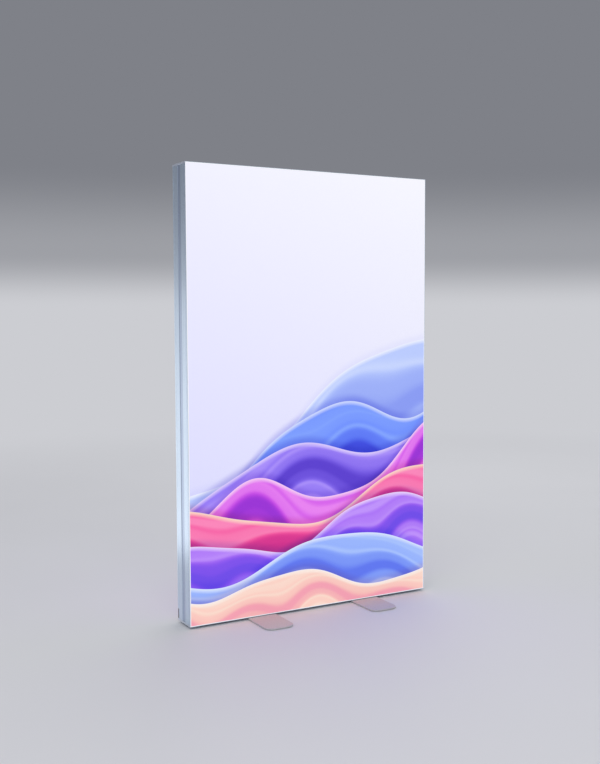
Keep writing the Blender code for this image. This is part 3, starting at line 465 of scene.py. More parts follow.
def pad_rubber():
    """Black rubber, moulded: matt, with a chalky bloom in patches."""
    bloom = (12 * MM, 5.0)
    grain = (0.8 * MM, 2.0)
    grains = (bloom, bloom, grain)
    name = "Black rubber, moulded"
    return grained(name, linear("#2b2b2c"), 0.3, (0.7, 0.9), 0.05 * MM, 0.3 * MM, grains, IOR=1.52)


def sewing_thread():
    """Grey polyester thread, twisted: its turns show as paler and darker bars, with a faint sheen."""
    turns = ((0.5 * MM, 2.0),) * 3
    name = "Polyester thread, twisted"
    values = {"IOR": 1.5, "Sheen_Weight": 0.3}
    return grained(name, linear("#a9abba"), 0.2, (0.5, 0.7), 0.05 * MM, 0.0, turns, **values)


def lens_strip_acrylic():
    """Clear moulded acrylic domes on a white board: glossy, and lit from within."""
    light = bpy.context.scene.light_box_lighting
    name = "Clear acrylic lenses on a white board"
    made, tree, shader, place = new_material(name, IOR=1.49, Emission_Color=linear("#fff8ec"))
    across = add_node(tree, "SeparateXYZ", {0: place}).outputs[0]
    reach = add_node(tree, "Math", {0: across}, operation="ABSOLUTE")
    board_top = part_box("right_lower_lens_strip")[1].x - 1.25 * MM
    dome = add_node(tree, "Math", {0: reach, 1: board_top}, operation="LESS_THAN")
    mottle = add_node(tree, "TexNoise", {"Vector": place, "Scale": 1 / (2 * MM)})
    links = {"Factor": dome, 6: linear("#e9ebea"), 7: linear("#fbfcff")}
    feed(shader, "Base Color", add_node(tree, "Mix", links, data_type="RGBA"))
    wander(shader, "Transmission Weight", 0.0, 0.85, dome)
    # Painted glow: the domes give out light as if lit by the chips, and the white board a fainter painted
    # glow
    wander(shader, "Emission Strength", 0.1, light.lens_glow, dome)
    wander(shader, "Roughness", 0.05, 0.12, mottle)
    relief(shader, mottle, 0.02 * MM)
    return made


def chip_phosphor():
    """A lit chip: warm phosphor, paler and yellower in turn."""
    glow = bpy.context.scene.light_box_lighting.chip_glow
    values = {"Roughness": 0.6, "Base_Color": linear("#ffe9b0"), "Emission_Strength": glow}
    made, tree, shader, place = new_material("Lit phosphor", **values)
    grain = add_node(tree, "TexNoise", {"Vector": place, "Scale": 1 / (0.4 * MM)})
    links = {"Factor": grain, 6: linear("#ffe7b8"), 7: linear("#fffaf0")}
    feed(shader, "Emission Color", add_node(tree, "Mix", links, data_type="RGBA"))
    return made


def knit_height(tree, place, wale):
    """The knit's columns and rows of stitches as a height from zero to one, at their real spacing."""
    course = 0.72 * wale
    x, _, z = add_node(tree, "SeparateXYZ", {0: place}).outputs
    column = add_node(tree, "Math", {0: x, 1: TURN / wale}, operation="MULTIPLY")
    row = add_node(tree, "Math", {0: z, 1: TURN / course}, operation="MULTIPLY")
    across = add_node(tree, "Math", {0: column}, operation="SINE")
    up = add_node(tree, "Math", {0: row}, operation="SINE")
    crossed = add_node(tree, "Math", {0: across, 1: up}, operation="MULTIPLY")
    return add_node(tree, "MapRange", {0: crossed, 1: -1.0, 2: 1.0})


def ground_print(tree, across, up):
    """A pale ground that fades from the lower left to the upper right."""
    textile = bpy.context.scene.light_box_textile
    rise_share = 0.76
    low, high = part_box("front_graphic")
    rise = add_node(tree, "MapRange", {0: up, 1: low.z, 2: high.z, 3: 0.0, 4: rise_share})
    drift = add_node(tree, "MapRange", {0: across, 1: low.x, 2: high.x, 3: 0.0, 4: 1 - rise_share})
    along = add_node(tree, "Math", {0: rise, 1: drift}, operation="ADD")
    links = {"Factor": along, 6: textile.ground_low, 7: textile.ground_high}
    return add_node(tree, "Mix", links, data_type="RGBA")


def wave_print(tree, across, up, shade):
    """Layered waves over the ground: each has silky folds along its crest and shades the one behind."""
    # Ripples on a crest: how many to a wave, and their height as a share of its swing
    ripple_rate = 2.3
    ripple_share = 1 / 7
    # How the folds are drawn together: their width's change, then their sway's rate and reach in folds
    gather = 0.25
    sway_rate = 0.85
    sway_reach = 0.32
    # Finer streaks, about two to a fold: how far their sine turns over a fold, and their depth in it
    streak_turn = 13.0
    streak_depth = 0.07
    # How far the shade reaches above a crest and the glint below it, and how bright the glint is
    shade_reach = 45 * MM
    glint_reach = 22 * MM
    glint_share = 0.9
    for crest, slope, swing, length, shift, fold, cast_share, rim, light, main, deep in WAVES:
        # The crest is a tilted line with a wave on it, and ripples on the wave
        turn = add_node(tree, "Math", {0: across, 1: TURN / length, 2: shift}, operation="MULTIPLY_ADD")
        wave = add_node(tree, "Math", {0: turn}, operation="SINE")
        quick = add_node(tree, "Math", {0: turn, 1: ripple_rate, 2: shift}, operation="MULTIPLY_ADD")
        ripple = add_node(tree, "Math", {0: quick}, operation="SINE")
        tilted = add_node(tree, "Math", {0: across, 1: slope, 2: crest}, operation="MULTIPLY_ADD")
        swung = add_node(tree, "Math", {0: wave, 1: swing, 2: tilted}, operation="MULTIPLY_ADD")
        links = {0: ripple, 1: swing * ripple_share, 2: swung}
        line = add_node(tree, "Math", links, operation="MULTIPLY_ADD")
        depth = add_node(tree, "Math", {0: line, 1: up}, operation="SUBTRACT")

        # Soft shade on what lies behind
        links = {0: depth, 1: -shade_reach, 2: 0.0, 3: 0.0, 4: cast_share}
        cast = add_node(tree, "MapRange", links, interpolation_type="SMOOTHSTEP")
        links = {"Factor": cast, 6: shade, 7: linear(deep)}
        shaded = add_node(tree, "Mix", links, data_type="RGBA", blend_type="MULTIPLY")

        # The folds widen and narrow along the crest, as silk that is drawn together
        gathered = add_node(tree, "Math", {0: ripple, 1: gather, 2: 1.0}, operation="MULTIPLY_ADD")
        folds = add_node(tree, "Math", {0: depth, 1: gathered}, operation="MULTIPLY")
        sway = add_node(tree, "Math", {0: turn, 1: sway_rate, 2: 2 * shift}, operation="MULTIPLY_ADD")
        drawn = add_node(tree, "Math", {0: sway}, operation="SINE")
        even = add_node(tree, "Math", {0: folds, 1: 1 / fold}, operation="MULTIPLY")
        count = add_node(tree, "Math", {0: drawn, 1: sway_reach, 2: even}, operation="MULTIPLY_ADD")
        back_and_forth = add_node(tree, "Math", {0: count, 1: 1.0}, operation="PINGPONG")
        fine = add_node(tree, "Math", {0: count, 1: streak_turn, 2: shift}, operation="MULTIPLY_ADD")
        streak = add_node(tree, "Math", {0: fine}, operation="SINE")
        links = {0: streak, 1: streak_depth, 2: back_and_forth}
        sheen = add_node(tree, "Math", links, operation="MULTIPLY_ADD")
        shades = ((0.0, light), (0.22, main), (0.40, light), (0.56, main), (0.82, deep), (1.0, deep))
        stops = [(place, linear(text)) for place, text in shades]
        silk = add_node(tree, "ValToRGB", {0: sheen}, stops)
        silk.color_ramp.interpolation = "B_SPLINE"

        # Light catches the crest itself
        glint = add_node(tree, "MapRange", {0: depth, 1: 0.0, 2: glint_reach, 3: glint_share, 4: 0.0})
        lifted = add_node(tree, "Mix", {"Factor": glint, 6: silk, 7: linear(rim)}, data_type="RGBA")
        edge = add_node(tree, "MapRange", {0: depth, 1: 0.0, 2: MM}, interpolation_type="SMOOTHSTEP")
        shade = add_node(tree, "Mix", {"Factor": edge, 6: shaded, 7: lifted}, data_type="RGBA")
    return shade


def printed_knit():
    """Polyester knit, sublimation printed and lit from behind: an even glow, a fine knit, white hems."""
    textile = bpy.context.scene.light_box_textile
    values = {"IOR": 1.5, "Roughness": 0.85, "Emission_Strength": textile.glow}
    made, tree, shader, place = new_material("Printed polyester knit, lit", **values)
    across, _, up = add_node(tree, "SeparateXYZ", {0: place}).outputs
    shade = wave_print(tree, across, up, ground_print(tree, across, up))

    # White hem, measured inward from the face's nearest edge
    low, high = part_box("front_graphic")
    middle = (low.z + high.z) / 2
    off_side = add_node(tree, "Math", {0: across}, operation="ABSOLUTE")
    side = add_node(tree, "Math", {0: high.x, 1: off_side}, operation="SUBTRACT")
    above = add_node(tree, "Math", {0: up, 1: middle}, operation="SUBTRACT")
    off_middle = add_node(tree, "Math", {0: above}, operation="ABSOLUTE")
    end = add_node(tree, "Math", {0: high.z - middle, 1: off_middle}, operation="SUBTRACT")
    nearest = add_node(tree, "Math", {0: side, 1: end}, operation="MINIMUM")
    printed = add_node(tree, "MapRange", {0: nearest, 1: textile.hem, 2: textile.hem + 0.5 * MM})
    inked = add_node(tree, "Mix", {"Factor": printed, 6: linear("#fbfbff"), 7: shade}, data_type="RGBA")

    # Light passes more easily between the stitches, so the knit shows as a faint change in brightness
    knit = knit_height(tree, place, textile.wale)
    veil = add_node(tree, "MapRange", {0: knit, 3: 1.04, 4: 0.96})
    lit = add_node(tree, "VectorMath", {0: inked, 1: veil}, operation="MULTIPLY")
    feed(shader, "Emission Color", lit)
    # The knit lets more than half of the light through, so what it sends back is duller than its print
    dull = add_node(tree, "VectorMath", {0: lit, "Scale": 0.38}, operation="SCALE")
    feed(shader, "Base Color", dull)
    relief(shader, knit, 0.08 * MM)
    return made


def hem_tape():
    """White polyester tape: a tight twill that is matt and lit from behind."""
    glow = bpy.context.scene.light_box_textile.glow
    values = {"IOR": 1.5, "Emission_Color": linear("#e4e4f4"), "Emission_Strength": glow / 3}
    made, tree, shader, place = new_material("White polyester tape, woven", **values)
    twill = knit_height(tree, place, 0.6 * MM)
    tone(shader, linear("#e9eaf0"), 0.05, twill)
    wander(shader, "Roughness", 0.75, 0.9, twill)
    relief(shader, twill, 0.06 * MM)
    return made


# Shapes


def ring(radius, height, count=24, flats=0):
    """A level ring of points; with flats it is a polygon, and radius is half its width across them."""
    points = []
    for i in range(count):
        turn = TURN * i / count
        reach = radius
        if flats:
            part = math.pi / flats
            reach = radius / math.cos((turn + part) % (2 * part) - part)
        points.append(Vector((reach * math.cos(turn), reach * math.sin(turn), height)))
    return points


def slab_ring(width, length, corner, height, steps=3):
    """A level ring of points round a rectangle with round corners."""
    points = []
    for k, (right, back) in enumerate(((1, 1), (-1, 1), (-1, -1), (1, -1))):
        x = right * (width / 2 - corner)
        y = back * (length / 2 - corner)
        for i in range(steps + 1):
            turn = math.pi / 2 * (k + i / steps)
            points.append(Vector((x + corner * math.cos(turn), y + corner * math.sin(turn), height)))
    return points


def add_loft(bm, rings, place=Matrix.Identity(4)):
    """Skins rings of equally many points and closes both ends."""
    loops = [[bm.verts.new(place @ point) for point in points] for points in rings]
    for low, high in zip(loops, loops[1:]):
        for i in range(len(low)):
            j = (i + 1) % len(low)
            bm.faces.new((low[i], low[j], high[j], high[i]))
    bm.faces.new(loops[0][::-1])
    bm.faces.new(loops[-1])


def add_slab(bm, spans, chamfer):
    """A block over its spans in X, Y and Z, with four long edges round and two ends chamfered."""
    low = Vector([min(span) for span in spans])
    high = Vector([max(span) for span in spans])
    size = high - low
    small = size - Vector((2 * chamfer, 2 * chamfer, 0))
    rings = (
        slab_ring(small.x, small.y, chamfer, -size.z / 2),
        slab_ring(size.x, size.y, 2 * chamfer, chamfer - size.z / 2),
        slab_ring(size.x, size.y, 2 * chamfer, size.z / 2 - chamfer),
        slab_ring(small.x, small.y, chamfer, size.z / 2),
    )
    add_loft(bm, rings, Matrix.Translation((low + high) / 2))


def facing(point, direction):
    """Places what is drawn along +Z at a point, turned to a direction."""
    return Matrix.Translation(point) @ Vector(direction).to_track_quat("Z", "X").to_matrix().to_4x4()


def add_socket_screw(bm, point, direction, radius, length, key):
    """A screw with a flat head and a hexagon socket; point is the middle of its head."""
    chamfer = radius / 8
    rings = (
        ring(radius - chamfer, -length),
        ring(radius, chamfer - length),
        ring(radius, -chamfer),
        ring(radius - chamfer, 0),
        ring(key + chamfer, 0),
        ring(key, -chamfer, flats=6),
        ring(key, -length / 2, flats=6),
        ring(key / 3, -length / 2 - key / 4),
    )
    add_loft(bm, rings, facing(point, direction))


def add_pan_screw(bm, point, direction, radius):
    """A low round screw head that stands on its point, with a square recess."""
    rings = (
        ring(radius, 0),
        ring(radius, radius / 4),
        ring(radius * 0.86, radius / 2),
        ring(radius * 0.5, radius * 0.64),
        ring(radius * 0.34, radius * 0.62, flats=4),
        ring(radius * 0.18, radius / 4),
    )
    add_loft(bm, rings, facing(point, direction))


def piece(name, bm, look, body, sharp=35):
    """Turns a bmesh into a piece of the light box that rides on a body."""
    bmesh.ops.recalc_face_normals(bm, faces=bm.faces)
    mesh = bpy.data.meshes.new(name)
    bm.to_mesh(mesh)
    bm.free()
    mesh.shade_smooth()
    mesh.set_sharp_from_angle(angle=math.radians(sharp))
    mesh.materials.append(look)
    obj = bpy.data.objects.new(name, mesh)
    bpy.context.scene.collection.objects.link(obj)
    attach(obj, body)
    return obj


def dress(look, *nodes):
    """Gives frame nodes their material."""
    for name in nodes:
        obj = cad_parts[name]
        for place in obj.material_slots:
            place.link = "OBJECT"
            place.material = look
        if not obj.material_slots:
            obj.data.materials.append(look)


def outer_x(box, inward):
    """Where a node's box ends on the side of its own upright."""
    return box[0].x if inward > 0 else box[1].x


# Textiles


def fold_line(edge, radius, depth, inset):
    """Stations from the face's middle out to an edge and down its slot: distance out, and depth."""
    fold_steps = 4
    slot_steps = 3
    stations = [(edge - radius - inset, 0.0)]
    for i in range(1, fold_steps + 1):
        turn = math.pi / 2 * i / fold_steps
        stations.append((edge - radius + radius * math.sin(turn), radius * (1 - math.cos(turn))))
    for i in range(1, slot_steps + 1):
        stations.append((edge, radius + (depth - radius) * i / slot_steps))
    return stations


def stations_across(half, count, radius, depth, cut):
    """All stations from one edge of a sheet to the other, with one more where its corner is cut."""
    out = fold_line(half, radius, depth, inset=2 * MM)
    flat_end = out[0][0]
    line = [(-d, h) for d, h in reversed(out)]
    line += [(-flat_end + 2 * flat_end * i / count, 0.0) for i in range(1, count)]
    line += out
    if cut is None:
        return line
    # Stations in the slot share a place, so they are sorted by depth too, from the outside in
    line.append((cut, 0.0))
    return sorted(line, key=lambda s: (s[0], -s[1] if s[0] < 0 else s[1]))


def add_textile(bm, centre, half_width, half_height, face, side, radius, depth, cut_out=None):
    """A stretched sheet whose four edges fold back into their slots, with a corner left out if asked."""
    slack = 0.01 * MM
    cut_x = cut_out[0] - centre.x if cut_out else None
    cut_z = cut_out[1] - centre.z if cut_out else None
    cells_across = 30
    cells_up = 48
    columns = stations_across(half_width, cells_across, radius, depth, cut_x)
    rows = stations_across(half_height, cells_up, radius, depth, cut_z)
    grid = []
    for z, down in rows:
        line = []
        for x, back in columns:
            y = face - side * max(back, down)
            line.append(bm.verts.new((centre.x + x, y, centre.z + z)))
        grid.append(line)
    for j in range(len(rows) - 1):
        for i in range(len(columns) - 1):
            if cut_out and columns[i + 1][0] < cut_x + slack and rows[j + 1][0] < cut_z + slack:
                continue
            bm.faces.new((grid[j][i], grid[j][i + 1], grid[j + 1][i + 1], grid[j + 1][i]))
    bmesh.ops.remove_doubles(bm, verts=bm.verts, dist=slack / 2)
    bmesh.ops.delete(bm, geom=[v for v in bm.verts if not v.link_faces], context="VERTS")


def add_stitches(bm, start, end, out, thread=0.11 * MM):
    """A row of stitches from start to end; out is the direction that the sheet faces there."""
    length = 3 * MM
    pitch = 4 * MM
    along = (end - start).normalized()
    beside = along.cross(out)
    for i in range(int((end - start).length / pitch)):
        near = start + along * (pitch * (i + 0.5) - length / 2)
        far = near + along * length
        loops = []
        for point, swell in ((near, 0.2), ((near + far) / 2, 1.0), (far, 0.2)):
            loops.append(
                [
                    point + (out * thread + beside * thread * 0.4) * swell,
                    point + (out * thread - beside * thread * 0.4) * swell,
                    point - (out * thread + beside * thread) * swell,
                    point - (out * thread - beside * thread) * swell,
                ]
            )
        add_loft(bm, loops)


def slot_rows(centre, half_width, half_height, y, cut_out):
    """Start, end and outward direction of each row of stitches along the four folded edges."""
    inset = 6 * MM
    left = centre.x - half_width
    right = centre.x + half_width
    low = centre.z - half_height
    high = centre.z + half_height
    left_start = cut_out[1] if cut_out else low
    low_start = cut_out[0] if cut_out else left
    ends = (
        ((left, left_start + inset), (left, high - inset), (-1, 0)),
        ((right, low + inset), (right, high - inset), (1, 0)),
        ((low_start + inset, low), (right - inset, low), (0, -1)),
        ((left + inset, high), (right - inset, high), (0, 1)),
    )
    for start, end, out in ends:
        yield Vector((start[0], y, start[1])), Vector((end[0], y, end[1])), Vector((out[0], 0, out[1]))


class LIGHTBOX_OT_textiles(bpy.types.Operator):
    """Stretch the two printed textiles, with their hems and stitches"""

    bl_idname = "lightbox.textiles"
    bl_label = "Printed Textiles"

    def execute(self, context):
        radius = context.scene.light_box_textile.fold_radius
        knit = printed_knit()
        tape = hem_tape()
        thread = sewing_thread()
        # The cloth runs down the middle of the 0.3 mm between gasket and lip, and ends below the gasket
        beyond = 0.15 * MM
        below = 0.5 * MM
        set_back = 0.08 * MM
        for name, side in (("front", -1), ("rear", 1)):
            body = f"{name}_graphic"
            low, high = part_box(body)
            gasket_low, gasket_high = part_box(f"{name}_right_gasket")
            depth = gasket_high.y - gasket_low.y + below
            centre = (low + high) / 2
            half_width = (high.x - low.x) / 2 + beyond
            half_height = (high.z - low.z) / 2 + beyond
            face = (high.y if side > 0 else low.y) - side * set_back
            cut_out = None
            if side > 0:
                cut_out = (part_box("rear_bottom_gasket")[0].x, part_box("rear_left_gasket")[0].z)
            bm = bmesh.new()
            add_textile(bm, centre, half_width, half_height, face, side, radius, depth, cut_out)
            sheet = piece(f"{name}_textile", bm, knit, body, 60)
            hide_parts(body)

            bm = bmesh.new()
            seam_y = face - side * depth / 2
            for start, end, out in slot_rows(centre, half_width, half_height, seam_y, cut_out):
                add_stitches(bm, start, end, out)
            with_pieces = [piece(f"{name}_stitches", bm, thread, body)]
            if cut_out:
                with_pieces += self.bind_corner(cut_out, low, face, tape, thread)
            around = 2 * (depth - radius + radius * math.pi / 2 - radius)
            flat = (2 * half_width + around, 2 * half_height + around)
            area = flat[0] * flat[1]
            if cut_out:
                area -= (cut_out[0] - low.x) * (cut_out[1] - low.z)
        return {"FINISHED"}

    def bind_corner(self, cut_out, low, face, tape, thread):
        """Tape that binds the two cut edges beside the inlet, sewn down with two rows of stitches."""
        width = 7 * MM
        thick = 0.25 * MM
        seam = 1.5 * MM
        margin = 0.3 * MM
        hairline = 0.02 * MM
        clear = 2 * MM
        thread_radius = 0.19 * MM
        x, z = cut_out
        rear = face + thick / 4
        span_y = (face - thick, rear)
        bm = bmesh.new()
        add_slab(bm, ((x, x + width), span_y, (low.z + margin, z + width)), thick / 3)
        # The two tapes butt against each other, with a hairline between them
        add_slab(bm, ((low.x + margin, x - hairline), span_y, (z, z + width)), thick / 3)
        out = Vector((0, 1, 0))
        stitches = bmesh.new()
        for inset in (seam, width - seam):
            up_start = Vector((x + inset, rear, low.z + clear))
            add_stitches(stitches, up_start, Vector((x + inset, rear, z + inset)), out, thread_radius)
            side_start = Vector((low.x + clear, rear, z + inset))
            side_end = Vector((x + inset - clear, rear, z + inset))
            add_stitches(stitches, side_start, side_end, out, thread_radius)
        return [
            piece("rear_corner_binding", bm, tape, "rear_graphic"),
            piece("rear_corner_stitches", stitches, thread, "rear_graphic"),
        ]


class LIGHTBOX_OT_gaskets(bpy.types.Operator):
    """Finish the silicone strips sewn to the textiles"""

    bl_idname = "lightbox.gaskets"
    bl_label = "Silicone Gaskets"

    def execute(self, context):
        look = silicone_strip()
        for edge in ("left", "right", "top", "bottom"):
            dress(look, f"front_{edge}_gasket", f"rear_{edge}_gasket")
        return {"FINISHED"}


# Frame


class LIGHTBOX_OT_profiles(bpy.types.Operator):
    """Finish the four profiles and their end caps"""

    bl_idname = "lightbox.profiles"
    bl_label = "Profiles"

    def execute(self, context):
        dress(anodised_aluminium("Z"), "left_upright", "right_upright")
        dress(anodised_aluminium("X"), "bottom_rail", "top_rail")
        corners = ("bottom_left", "bottom_right", "top_left", "top_right")
        dress(cut_aluminium(), *(f"{corner}_end_cap" for corner in corners))
        return {"FINISHED"}


class LIGHTBOX_OT_corner_fittings(bpy.types.Operator):
    """Finish the corner brackets and put a set screw in each of their holes"""

    bl_idname = "lightbox.corner_fittings"
    bl_label = "Corner Fittings"

    def execute(self, context):
        look = zinc_plate()
        # The brackets' thickness, and where their holes are along each arm
        thick = 5.2 * MM
        shares = (0.42, 0.82)
        sizes = (3.1 * MM, thick - 0.3 * MM, 1.5 * MM)
        for up, upward in (("bottom", 1), ("top", -1)):
            for side, inward in SIDES:
                node = f"{up}_{side}_bracket"
                dress(look, node)
                low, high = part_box(node)
                size = high - low
                corner_x = outer_x((low, high), inward)
                corner_z = low.z if upward > 0 else high.z
                bm = bmesh.new()
                for share in shares:
                    level = Vector((corner_x + inward * size.x * share, 0, corner_z + upward * thick))
                    add_socket_screw(bm, level, (0, 0, upward), *sizes)
                    plumb = Vector((corner_x + inward * thick, 0, corner_z + upward * size.z * share))
                    add_socket_screw(bm, plumb, (inward, 0, 0), *sizes)
                piece(f"{up}_{side}_set_screws", bm, look, "box")
        return {"FINISHED"}


class LIGHTBOX_OT_crossbar(bpy.types.Operator):
    """Finish the crossbar, its two brackets and their screws"""

    bl_idname = "lightbox.crossbar"
    bl_label = "Crossbar"

    def execute(self, context):
        zinc = zinc_plate()
        dress(white_powder_coat(), "crossbar")
        plate = 5.4 * MM
        for side, inward in SIDES:
            node = f"{side}_crossbar_bracket"
            dress(zinc, node)
            low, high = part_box(node)
            face = outer_x((low, high), inward) + inward * plate
            middle = (low.z + high.z) / 2
            reach = (high.z - low.z) * 0.34
            bm = bmesh.new()
            for z in (middle - reach, middle + reach):
                add_pan_screw(bm, Vector((face, 0, z)), (inward, 0, 0), 4.2 * MM)
            piece(f"{side}_crossbar_screws", bm, zinc, "box")
        return {"FINISHED"}


# Lighting


class LIGHTBOX_OT_led_bars(bpy.types.Operator):
    """Finish the LED bars with chips under their lenses, screws and connector covers"""

    bl_idname = "lightbox.led_bars"
    bl_label = "LED Bars"

    def execute(self, context):
        count = context.scene.light_box_lighting.lenses
        bar_look = anodised_aluminium("Z")
        lens_look = lens_strip_acrylic()
        chip_look = chip_phosphor()
        zinc = zinc_plate()
        cover_look = moulded_plastic("White nylon, moulded", "#dcdcd6", 1.53, (0.4, 0.55), 0.5 * MM)
        board = 1.2 * MM
        half = Vector((0.4 * MM, 1.6 * MM, 1.6 * MM))
        for side, inward in SIDES:
            for level in ("lower", "upper"):
                bar = f"{side}_{level}_led_bar"
                strip = f"{side}_{level}_lens_strip"
                dress(bar_look, bar)
                dress(lens_look, strip)
                low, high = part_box(strip)
                root = outer_x((low, high), inward) + inward * board
                pitch = (high.z - low.z) / count
                chips = bmesh.new()
                screws = bmesh.new()
                for i in range(count):
                    z = low.z + pitch * (i + 0.5)
                    chip = Vector((root + inward * 0.2 * MM, 0, z))
                    add_slab(chips, list(zip(chip - half, chip + half)), 0.15 * MM)
                    if 0 < i:
                        seat = Vector((root, 0, z - pitch / 2))
                        add_pan_screw(screws, seat, (inward, 0, 0), 2.2 * MM)
                piece(f"{side}_{level}_chips", chips, chip_look, "box")
                piece(f"{side}_{level}_strip_screws", screws, zinc, "box")
                covers = self.cover_connectors(inward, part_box(bar))
                piece(f"{side}_{level}_connector_covers", covers, cover_look, "box")
        return {"FINISHED"}

    def cover_connectors(self, inward, box):
        """A latched cover over the connector block at each end of a bar."""
        low, high = box
        tip = outer_x(box, -inward)
        # The blocks are 16 mm wide, 14 mm long and 5 mm off the bar's middle; the cover adds 0.25 mm
        y = -5 * MM * inward
        half = 8.25 * MM
        latch = 2 * MM
        bm = bmesh.new()
        for end, step in ((low.z, 1), (high.z, -1)):
            first = end + step * 0.6 * MM
            last = end + step * 14.3 * MM
            z = (first + last) / 2
            cover_x = (tip - inward * 6.2 * MM, tip + inward * 0.25 * MM)
            latch_x = (tip, tip + inward * 0.8 * MM)
            add_slab(bm, (cover_x, (y - half, y + half), (first, last)), 0.4 * MM)
            add_slab(bm, (latch_x, (y - 2 * latch, y + 2 * latch), (z - latch, z + latch)), 0.3 * MM)
        return bm


class LIGHTBOX_OT_driver(bpy.types.Operator):
    """Finish the LED driver and its mount, with screws and gland nuts"""

    bl_idname = "lightbox.driver"
    bl_label = "LED Driver"

    def execute(self, context):
        zinc = zinc_plate()
        dress(zinc, "driver_mount")
        dress(white_powder_coat(), "led_driver")
        nut_look = moulded_plastic("Black nylon, moulded", "#242425", 1.53, (0.4, 0.55), 0.4 * MM)
        # A gland nut from the wall out: a hexagon, then a round shoulder that closes on the lead
        nut = (
            ring(5.6 * MM, -0.5 * MM, flats=6),
            ring(5.9 * MM, 0.4 * MM, flats=6),
            ring(5.9 * MM, 3.2 * MM, flats=6),
            ring(5.3 * MM, 4.0 * MM),
            ring(4.9 * MM, 5.6 * MM),
            ring(3.4 * MM, 6.0 * MM),
        )
        low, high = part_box("led_driver")
        # How far a gland stands out of its wall, and its place on it beside the middle and above the base
        gland = 6 * MM
        beside = 15 * MM
        above = 15 * MM
        glands = bmesh.new()
        screws = bmesh.new()
        for end, outward, offsets in ((low.x, -1, (-beside, beside)), (high.x, 1, (beside,))):
            wall = end - outward * gland
            for y in offsets:
                add_loft(glands, nut, facing(Vector((wall, y, low.z + above)), (outward, 0, 0)))
            for y in (-25 * MM, 25 * MM):
                for rise in (5 * MM, 26 * MM):
                    add_pan_screw(screws, Vector((wall, y, low.z + rise)), (outward, 0, 0), 2.1 * MM)
        # The mount's screws stand closer together at the left, clear of the mains lead
        inset = 5 * MM
        mount_low, mount_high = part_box("driver_mount")
        for x, reach in ((mount_low.x + inset, 19.8 * MM), (mount_high.x - inset, 22 * MM)):
            for y in (-reach, reach):
                add_pan_screw(screws, Vector((x, y, mount_high.z)), (0, 0, 1), 2.6 * MM)
        piece("driver_gland_nuts", glands, nut_look, "box")
        piece("driver_screws", screws, zinc, "box")
        return {"FINISHED"}


class LIGHTBOX_OT_leads(bpy.types.Operator):
    """Finish the leads and clip the long one to the bottom rail"""

    bl_idname = "lightbox.leads"
    bl_label = "Leads"

    def execute(self, context):
        names = ("mains_lead", "left_led_lead", "right_led_lead", "left_link_lead", "right_link_lead")
        dress(pvc_sheath(), *names)
        look = moulded_plastic("White nylon, moulded", "#d8d8d2", 1.53, (0.4, 0.55), 0.5 * MM)
        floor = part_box("bottom_rail")[1].z
        radius = 2.5 * MM
        lead_y = 17.5 * MM
        lead_z = floor + 0.3 * MM + radius
        bm = bmesh.new()
        for x in (-160 * MM, 10 * MM, 180 * MM, 350 * MM, 490 * MM):
            self.add_clip(bm, (x, lead_y, lead_z), floor - lead_z, radius)
        piece("lead_clips", bm, look, "box")
        return {"FINISHED"}

    def add_clip(self, bm, centre, base, radius):
        """An arch over the lead with a foot at each side; base is the rail's height beside the lead's."""
        x, y, z = centre
        half = 3 * MM
        inner = radius + 0.25 * MM
        outer = inner + 1.0 * MM
        tip = outer + 3.2 * MM
        low = base + 0.05 * MM
        top = base + MM
        steps = 8
        turns = [math.pi * i / steps for i in range(steps + 1)]
        path = [(-tip, low), (-tip, top), (-outer, top)]
        path += [(outer * math.cos(turn), outer * math.sin(turn)) for turn in reversed(turns)]
        path += [(outer, top), (tip, top), (tip, low), (inner, low)]
        path += [(inner * math.cos(turn), inner * math.sin(turn)) for turn in turns]
        path += [(-inner, low)]
        ends = (x - half, x + half)
        add_loft(bm, [[Vector((end, y + across, z + up)) for across, up in path] for end in ends])


class LIGHTBOX_OT_inlet(bpy.types.Operator):
    """Finish the inlet's housing, socket, pins and rocker switch"""

    bl_idname = "lightbox.inlet"
    bl_label = "Inlet and Switch"

    def execute(self, context):
        shell = moulded_plastic("Black ABS, spark-eroded mould", "#2a2b2e", 1.54, (0.48, 0.62), 0.5 * MM)
        smooth = moulded_plastic("Black polyamide, moulded", "#1c1c1e", 1.53, (0.34, 0.46), 0.3 * MM)
        dress(shell, "inlet_housing")
        dress(smooth, "inlet_socket", "switch_body")
        dress(rocker_polycarbonate(), "switch_rocker")
        self.add_pins()
        self.add_screws()
        return {"FINISHED"}

    def add_pins(self):
        """Three flat pins that stand on the socket's floor, the middle one higher than the others."""
        low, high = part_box("inlet_socket")
        middle = (low + high) / 2
        floor = high.y - 15.5 * MM
        pin = (
            slab_ring(2.1 * MM, 4.1 * MM, 0.2 * MM, 0),
            slab_ring(2.1 * MM, 4.1 * MM, 0.2 * MM, 7.6 * MM),
            slab_ring(1.2 * MM, 3.0 * MM, 0.2 * MM, 9.25 * MM),
        )
        bm = bmesh.new()
        for x, rise in ((-7 * MM, -2 * MM), (0, 2 * MM), (7 * MM, -2 * MM)):
            root = Matrix.Translation((middle.x + x, floor, middle.z + rise))
            add_loft(bm, pin, root @ Matrix.Rotation(-math.pi / 2, 4, "X"))
        piece("inlet_pins", bm, zinc_plate(), "box")

    def add_screws(self):
        """Four screws hold the housing, in the corners round the switch."""
        low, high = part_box("inlet_housing")
        switch_low, switch_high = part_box("switch_body")
        x = (switch_low.x + switch_high.x) / 2
        z = (low.z + high.z) / 2
        recess = 15 * MM
        bm = bmesh.new()
        for across in (-10.7 * MM, 10.7 * MM):
            for rise in (-15 * MM, 15 * MM):
                spot = Vector((x + across, high.y - recess, z + rise))
                add_pan_screw(bm, spot, (0, 1, 0), 1.5 * MM)
        piece("inlet_screws", bm, zinc_plate(), "box")


# Feet


